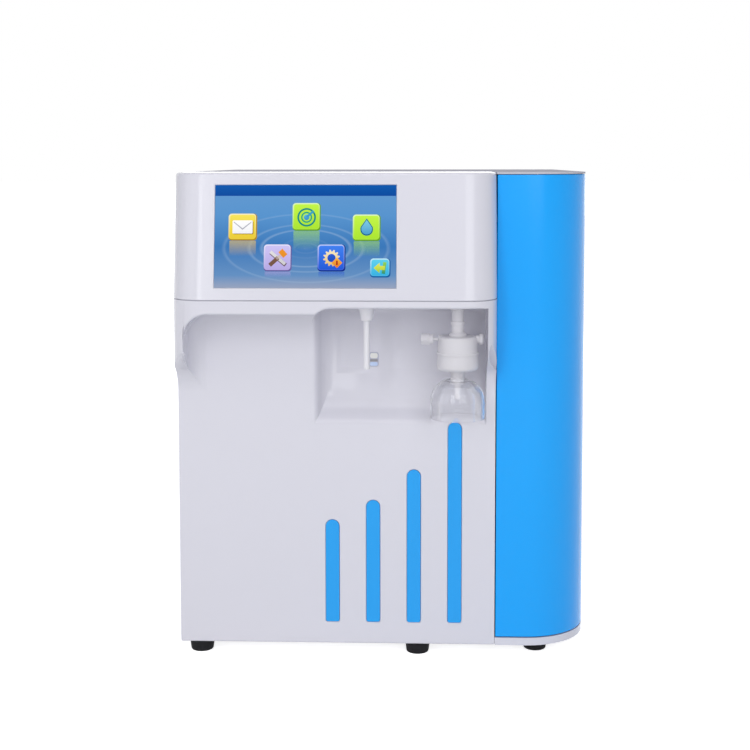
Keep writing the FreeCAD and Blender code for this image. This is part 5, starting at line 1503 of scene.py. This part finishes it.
@dataclass
class Outlet:
    """The dispensing nozzle: its collar and tube, and the small badge behind its tip."""

    axis: Corner = (-15.1, -222.0)
    collar_foot: float = 337.7
    tube_foot: float = 290.0
    badge: Point = (-14.5, -177.7, 285.9)
    badge_size: Corner = (9.4, 14.5)
    badge_lean: float = math.radians(-4.1)
    inlays: tuple[tuple[str, float, float, float, Finish], ...] = (
        ("badge_foot", 0.9, 4.6, 1.2, BADGE_PALE), ("badge_band", 5.2, 7.6, 0.5, BADGE_DARK),
        ("badge_crown", 8.4, 13.6, 2.0, BADGE_CREAM))
    inlay_side: float = 0.9

    def build(self) -> None:
        """Build the collar, the tube and the badge."""
        collar = lathe("nozzle_cone", (*self.axis, self.collar_foot), [
            (2.85, 0), (5.2, 0), (5.75, 0.5), (6.2, 3.2), (7.5, 8.8), (8.5, 12.2), (8.5, 13.75),
            (2.85, 13.75), (2.85, 0)], rounds={3: 4, 5: 0.8})
        stand_for(collar, "nozzle_collar")
        tube = lathe("nozzle_tube", (*self.axis, self.tube_foot), [
            (2, 0), (3, 0), (3, 46.7), (2.8, 46.9), (2.8, 72), (2, 72), (2, 0)], rounds={1: 0.5}, sides=40)
        stand_for(tube, "spout_tube")
        width, height = self.badge_size
        plate = self.plate("badge_plate", (0, 0, width, height), 0, 1.0, 2.4)
        stand_for(self.lean(bevel(plate, 0.25, lambda spot: spot.high.y < 0.05, 2)), "outlet_badge")
        for name, low, high, radius, finish in self.inlays:
            edges = (self.inlay_side, low, width - self.inlay_side, high)
            add_to(self.lean(self.plate(name, edges, -0.12, 0.3, radius)), "outlet_badge", finish)

    def plate(self, name: str, edges: Sequence[float], near: float, thick: float, radius: float) -> Mesh:
        """Return an upright plate between its left, low, right and high edge, with rounded corners."""
        return prism(name, Axis.REAR, near, thick, rectangle(*edges), dict.fromkeys(range(4), radius), 6)

    def lean(self, piece: Mesh) -> Mesh:
        """Lean a plate against the niche's back, where the badge is."""
        return place(piece, self.badge, (self.badge_lean, 0, 0))


# ---------------------------------------------------------------- final filter

@dataclass
class FinalFilter:
    """The final filter under the brow: fitting, capsule, pleats, vent, drain, neck and bell."""

    axis: Corner = (72.9, -222.0)
    capsule_foot: float = 289.7
    capsule_top: float = 322.7
    vent_height: float = 319.7
    vent_start: float = 37.1
    drain_start: float = 93.6
    boss_reach: Corner = (-18.5, 17.2)
    bell_foot: float = 243.0
    neck_foot: float = 261.7
    pleats: int = 40
    pleat_reach: Corner = (10.8, 14.0)
    wing: Point = (7.2, 8.8, 0.9)

    def build(self) -> None:
        """Build the filter from its fitting down to the bell."""
        stem = lathe("filter_stem", (*self.axis, self.capsule_top), [
            (2, 0), (8.6, 0), (8.6, 1.6), (6.1, 4.2), (6.1, 11), (7.0, 11.4), (7.0, 14.2), (6.0, 14.6),
            (6.0, 25.2), (7.6, 25.6), (7.6, 28.7), (3.4, 28.7), (3.4, 34.6), (2, 34.6), (2, 0)],
            rounds={2: 0.8, 3: 2, 9: 0.5})
        stand_for(stem, "filter_inlet_fitting")
        stand_for(self.capsule(), "filter_capsule")
        stand_for(self.core(), "filter_membrane")
        neck = lathe("filter_neck", (*self.axis, self.neck_foot), [
            (2, 0), (2.75, 0), (2.75, 14), (6.85, 14), (6.85, 20.2), (6.3, 20.6), (6.3, 22.2), (6.85, 22.6),
            (6.85, 24.8), (8.4, 27.9), (2, 27.9), (2, 0)], rounds={1: 0.3, 8: 3})
        stand_for(neck, "filter_outlet_neck")
        bell = lathe("clear_bell", (*self.axis, self.bell_foot), [
            (24.9, 0), (26.5, 0), (26.4, 18.5), (24.2, 26.6), (19.6, 33), (13.6, 36.8), (6.88, 38.6),
            (6.88, 36.8), (12.8, 35.2), (18.4, 31.8), (22.7, 26), (24.9, 18), (24.9, 0)],
            rounds={1: 0.5, 2: 9, 3: 9, 4: 9, 5: 9, 8: 7, 9: 7, 10: 7, 11: 7}, sides=96)
        stand_for(bell, "filling_bell")
        self.add_vent()
        self.add_drain()

    def beside(self, across: float) -> Point:
        """Return the point across the machine at which a part of the vent or the drain starts."""
        return across, self.axis[1], self.vent_height

    def capsule(self) -> Mesh:
        """Return the capsule's wall with its seam, shoulder and two bosses."""
        wall = lathe("capsule_wall", (*self.axis, self.capsule_foot), [
            (8.5, 0), (20.5, 0), (20.1, 6), (19.6, 15.2), (20.3, 15.6), (20.2, 17.6), (19.4, 18), (18.5, 33),
            (8.7, 33), (8.7, 31.5), (17, 31.5), (18.9, 1.5), (8.5, 1.5), (8.5, 0)],
            rounds={1: 4.0, 7: 2.6, 10: 1.6, 11: 2.6}, sides=96)
        vent, drain = (self.beside(self.axis[0] + reach) for reach in self.boss_reach)
        bosses = [
            lathe("vent_boss", vent, [(1.7, 0), (3.6, 0), (4, 0.4), (4, 3.5), (1.7, 3.5), (1.7, 0)],
                  Axis.RIGHT, 32),
            lathe("drain_boss", drain, [(0, 0), (4, 0), (4, 3.4), (0, 3.4)], Axis.RIGHT, 32)]
        return join("capsule_wall", wall, *bosses)

    def core(self) -> Mesh:
        """Return the pleated core, a star of folds round its tube."""
        folds = prism("pleated_core", Axis.UP, self.capsule_foot + 1.6, 29.8,
                      star(self.axis, self.pleat_reach, 2 * self.pleats))
        return combine(folds, drum("core_bore", (*self.axis, self.capsule_foot), 4, 40))

    def add_vent(self) -> None:
        """Build the vent screw with its wing, on the left."""
        start = self.beside(self.vent_start)
        knob = lathe("vent_screw", start, [
            (0, 0), (5.5, 0), (5.5, 8.6), (4.6, 9), (4.6, 11), (5.2, 11.4), (5.2, 12), (1.5, 12), (1.5, 17),
            (0, 17)], Axis.RIGHT, 48, rounds={1: 1.2})
        long, half, thin = self.wing
        wing = block("wing", Vector(start) - Vector((0, half, thin)),
                     Vector(start) + Vector((long, half, thin)))
        stand_for(join("vent_screw", knob, soften(wing, 0.6, 3)), "vent_cap")

    def add_drain(self) -> None:
        """Build the drain plug, on the right."""
        plug = lathe("drain_screw", self.beside(self.drain_start), [
            (0, 0), (5.2, 0), (5.5, 0.4), (5.5, 2.9), (4.6, 4), (2.4, 4), (2.4, 3), (0, 3)], Axis.RIGHT, 48)
        stand_for(plug, "drain_plug")


# ---------------------------------------------------------------- feet

@dataclass
class Feet:
    """Six tapered rubber feet, each with the screw recess in its sole."""

    places: tuple[Corner, ...] = (
        (-183.0, -189.0), (-183.0, 196.0), (34.2, -189.0), (34.2, 196.0), (152.5, -175.0), (152.5, 196.0))

    def build(self) -> None:
        """Turn one foot and copy it under each corner."""
        first = self.places[0]
        foot = lathe("foot_1", (*first, 0), [
            (0, 2.2), (4, 2.2), (4, 0), (11, 0), (12.4, 9.6), (12.5, 11), (0, 11)], rounds={2: 0.5, 3: 1.4},
            sides=56)
        copies = [twin(foot, f"foot_{order}", (x - first[0], y - first[1], 0))
                  for order, (x, y) in enumerate(self.places[1:], 2)]
        stand_for(foot, "rubber_feet")
        for copy in copies:
            add_to(copy, "rubber_feet")


# ---------------------------------------------------------------- cartridge bay

@dataclass
class CartridgeBay:
    """The four treatment cartridges behind the door, with their blue end caps, clips and heads."""

    across: float = 152.0
    floor: float = 14.0
    cap_rise: float = 340.0
    rows: tuple[tuple[str, float], ...] = (
        ("pretreatment_cartridge", -112.0), ("membrane_housing", -30.0), ("polishing_cartridge_1", 52.0),
        ("polishing_cartridge_2", 134.0))

    def build(self) -> None:
        """Turn one cartridge and copy it into each place, then trace the clips and the heads."""
        first = self.rows[0][1]
        body = lathe("cartridge_body", (self.across, first, self.floor), [
            (0, 0), (30, 0), (33.4, 2), (33.4, 11.8), (34, 12.2), (34, 337.8), (33.4, 338.2), (33.4, 350),
            (30, 352), (14.4, 352), (14, 352.4), (14, 364), (0, 364)], rounds={1: 2, 8: 2})
        cap = lathe("cartridge_cap", (self.across, first, self.floor + self.cap_rise), [
            (33.42, 0), (34, 0.4), (34, 11), (31, 12.1), (15, 12.1), (15, 11.4), (29.8, 11.4), (33.42, 9.6),
            (33.42, 0)], rounds={3: 2})
        for number, (node, depth) in enumerate(self.rows, 1):
            shift = (0, depth - first, 0)
            stand_for(twin(body, f"cartridge_{number}", shift), node)
            add_to(twin(cap, f"cartridge_cap_{number}", shift), node, CARTRIDGE_BLUE)
        for spare in (body, cap):
            bpy.data.objects.remove(spare)
        stand_traced("cartridge_clips", "spring_clips", 0.5)
        stand_traced("cartridge_heads", "quick_heads", 0.6)


# ---------------------------------------------------------------- sheets and services

@dataclass
class Cabinet:
    """The sheet covers and the moulded base, with eased edges."""

    sheets: tuple[tuple[str, str, float, Finish | None], ...] = (
        ("top_cover", "roof_sheet", 0.35, ROOF_SHEET), ("left_side_panel", "left_sheet", 0.3, None),
        ("rear_panel", "rear_sheet", 0.3, None), ("base_tray", "base_moulding", 0.8, None))

    def build(self) -> None:
        """Trace each sheet and ease its edges."""
        for node, name, ease, finish in self.sheets:
            stand_traced(node, name, ease, 50, finish=finish)


@dataclass
class RearServices:
    """The mains inlet, the water ports, the fan and the screws on the back."""

    moulded: tuple[tuple[str, str, float], ...] = (
        ("power_inlet", "inlet_module", 0.5), ("fuse_drawer", "fuse_tray", 0.35),
        ("power_rocker", "switch_rocker", 0.4), ("bulkhead_ports", "water_ports", 0.4),
        ("fan_frame", "fan_housing", 0.4), ("fan_rotor", "fan_blades", 0.2))
    ports: Point = (-142.5, -100.5, -58.5)
    port_height: float = 57.0

    def build(self) -> None:
        """Trace and ease the moulded parts and the button-head screws, and add the collets."""
        for node, name, ease in self.moulded:
            stand_traced(node, name, ease, 40)
        self.add_collets()
        stand_traced("panel_screws", "button_screws", 0.4, 50, 3)

    def add_collets(self) -> None:
        """Turn a release collet in each port, as long as its node."""
        for number, across in enumerate(self.ports, 1):
            node = f"port_collet_{number}"
            low, high = (Vector(corner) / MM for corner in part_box(node))
            long = high.y - low.y
            collet = lathe(f"release_ring_{number}", (across, low.y, self.port_height), [
                (4.1, 0), (5.2, 0), (5.2, long - 1.9), (7.1, long - 1.9), (7.5, long - 1.5),
                (7.5, long - 0.4), (7.1, long), (4.6, long), (4.1, long - 0.5), (4.1, 0)], Axis.REAR, 48)
            stand_for(collet, node)


# ---------------------------------------------------------------- the set

@dataclass
class Studio:
    """The pale floor, the soft lights and the camera."""

    eye: Point = (0.0437, -1.5533, 0.4913)
    yaw: float = 0.038
    pitch: float = 0.075
    roll: float = -0.001
    lens: float = 66.64
    shift: float = -0.1467
    floor_size: float = 60.0

    def build(self) -> None:
        """Lay the floor, hang the lights and set the camera."""
        self.lay_floor()
        self.hang_lights()
        self.set_camera()
        self.fill_world()
        bpy.context.scene.view_settings.view_transform = "Standard"

    def lay_floor(self) -> None:
        """Add a pale floor that glows softly where the camera sees it."""
        hold(None)
        bpy.ops.mesh.primitive_plane_add(size=1, location=(0, 0, 0))
        bpy.context.object.scale = (self.floor_size, self.floor_size, 1)
        floor = settle("pale_floor")
        material = bpy.data.materials.new("pale_paper")
        material.use_nodes = True
        tree = material.node_tree
        paper = feed(tree.nodes["Principled BSDF"], {
            "Base Color": (0.86, 0.86, 0.86, 1), "Roughness": 0.9, "Specular IOR Level": 0.0})
        spot = add_node(tree, "TexCoord").outputs["Object"]
        away = add_node(tree, "VectorMath", {0: spot}, operation="LENGTH").outputs["Value"]
        fill = add_node(tree, "MapRange", {
            "Value": away, "From Min": 0.5, "From Max": 2.6, "To Min": 0.78, "To Max": 1.0})
        white = add_node(tree, "Emission", {"Color": (1, 1, 1, 1), "Strength": fill.outputs["Result"]})
        both = add_node(tree, "AddShader", {0: paper.outputs["BSDF"], 1: white.outputs["Emission"]})
        seen = add_node(tree, "MixShader", {
            "Fac": seen_or_mirrored(tree), 1: paper.outputs["BSDF"], 2: both.outputs["Shader"]})
        feed(tree.nodes["Material Output"], {"Surface": seen.outputs["Shader"]})
        floor.data.materials.append(material)

    def hang_lights(self) -> None:
        """Hang the soft boxes: one overhead, two in front, one far to the left and one behind."""
        boxes = (
            ("overhead", (0.0, -1.0, 2.1), (0, 0, 0.35), (2.0, 1.2), 8.0),
            ("front_left", (-0.77, -2.1, 1.12), (-0.2, -0.2, 0.35), (0.6, 1.5), 10.6),
            ("front_right", (0.78, -2.1, 1.12), (0.1, -0.2, 0.35), (1.15, 1.5), 12.6),
            ("far_left", (-2.4, -1.5, 1.1), (0, 0, 0.25), (2.0, 2.0), 7.0),
            ("behind", (0.3, 2.3, 1.0), (0, 0, 0.25), (2.0, 1.4), 9.0),
        )
        for name, spot, target, size, power in boxes:
            light = bpy.data.lights.new(name, "AREA")
            light.shape = "RECTANGLE"
            light.size, light.size_y = size
            light.energy = power
            lamp = bpy.data.objects.new(name, light)
            lamp.location = spot
            lamp.rotation_euler = (Vector(target) - Vector(spot)).to_track_quat("-Z", "Y").to_euler()
            bpy.context.scene.collection.objects.link(lamp)

    def set_camera(self) -> None:
        """Set the camera a little above the screen and to its right, nearly level."""
        data = bpy.data.cameras.new("camera")
        data.sensor_width = 36
        data.lens = self.lens
        data.shift_y = self.shift
        data.clip_start, data.clip_end = 0.05, 100
        camera = bpy.data.objects.new("camera", data)
        camera.location = self.eye
        turn = Matrix.Rotation(self.yaw, 4, "Z") @ Matrix.Rotation(math.pi / 2 - self.pitch, 4, "X")
        camera.rotation_euler = (turn @ Matrix.Rotation(self.roll, 4, "Z")).to_euler()
        bpy.context.scene.collection.objects.link(camera)
        bpy.context.scene.camera = camera

    def fill_world(self) -> None:
        """Fill the room with even light, white where it is seen or mirrored."""
        world = bpy.data.worlds.new("room")
        world.use_nodes = True
        tree = world.node_tree
        plain = feed(tree.nodes["Background"], {"Color": (0.93, 0.95, 1.0, 1), "Strength": 0.4})
        seen = add_node(tree, "Background", {"Color": (1, 1, 1, 1), "Strength": 1.0})
        blend = add_node(tree, "MixShader", {
            "Fac": seen_or_mirrored(tree), 1: plain.outputs["Background"], 2: seen.outputs["Background"]})
        feed(tree.nodes["World Output"], {"Surface": blend.outputs["Shader"]})
        bpy.context.scene.world = world


def dress_nodes() -> None:
    """Give every node of the frame its finish."""
    for name, thing in frame["nodes"].items():
        thing.data.materials.clear()
        thing.data.materials.append(SLOT_FINISHES[SLOTS[name]].build())


def main() -> None:
    """Build the set and every sub-assembly, and report each."""
    logging.basicConfig(level=logging.INFO, format="%(name)s: %(message)s")
    Studio().build()
    dress_nodes()
    for assembly in (FrontPanel(), ScreenHead(), ScreenPicture(), SideDoor(), Outlet(), FinalFilter(), Feet(),
                     CartridgeBay(), Cabinet(), RearServices()):
        assembly.build()
        LOG.info("built %s", type(assembly).__name__)


if __name__ == "__main__":
    main()
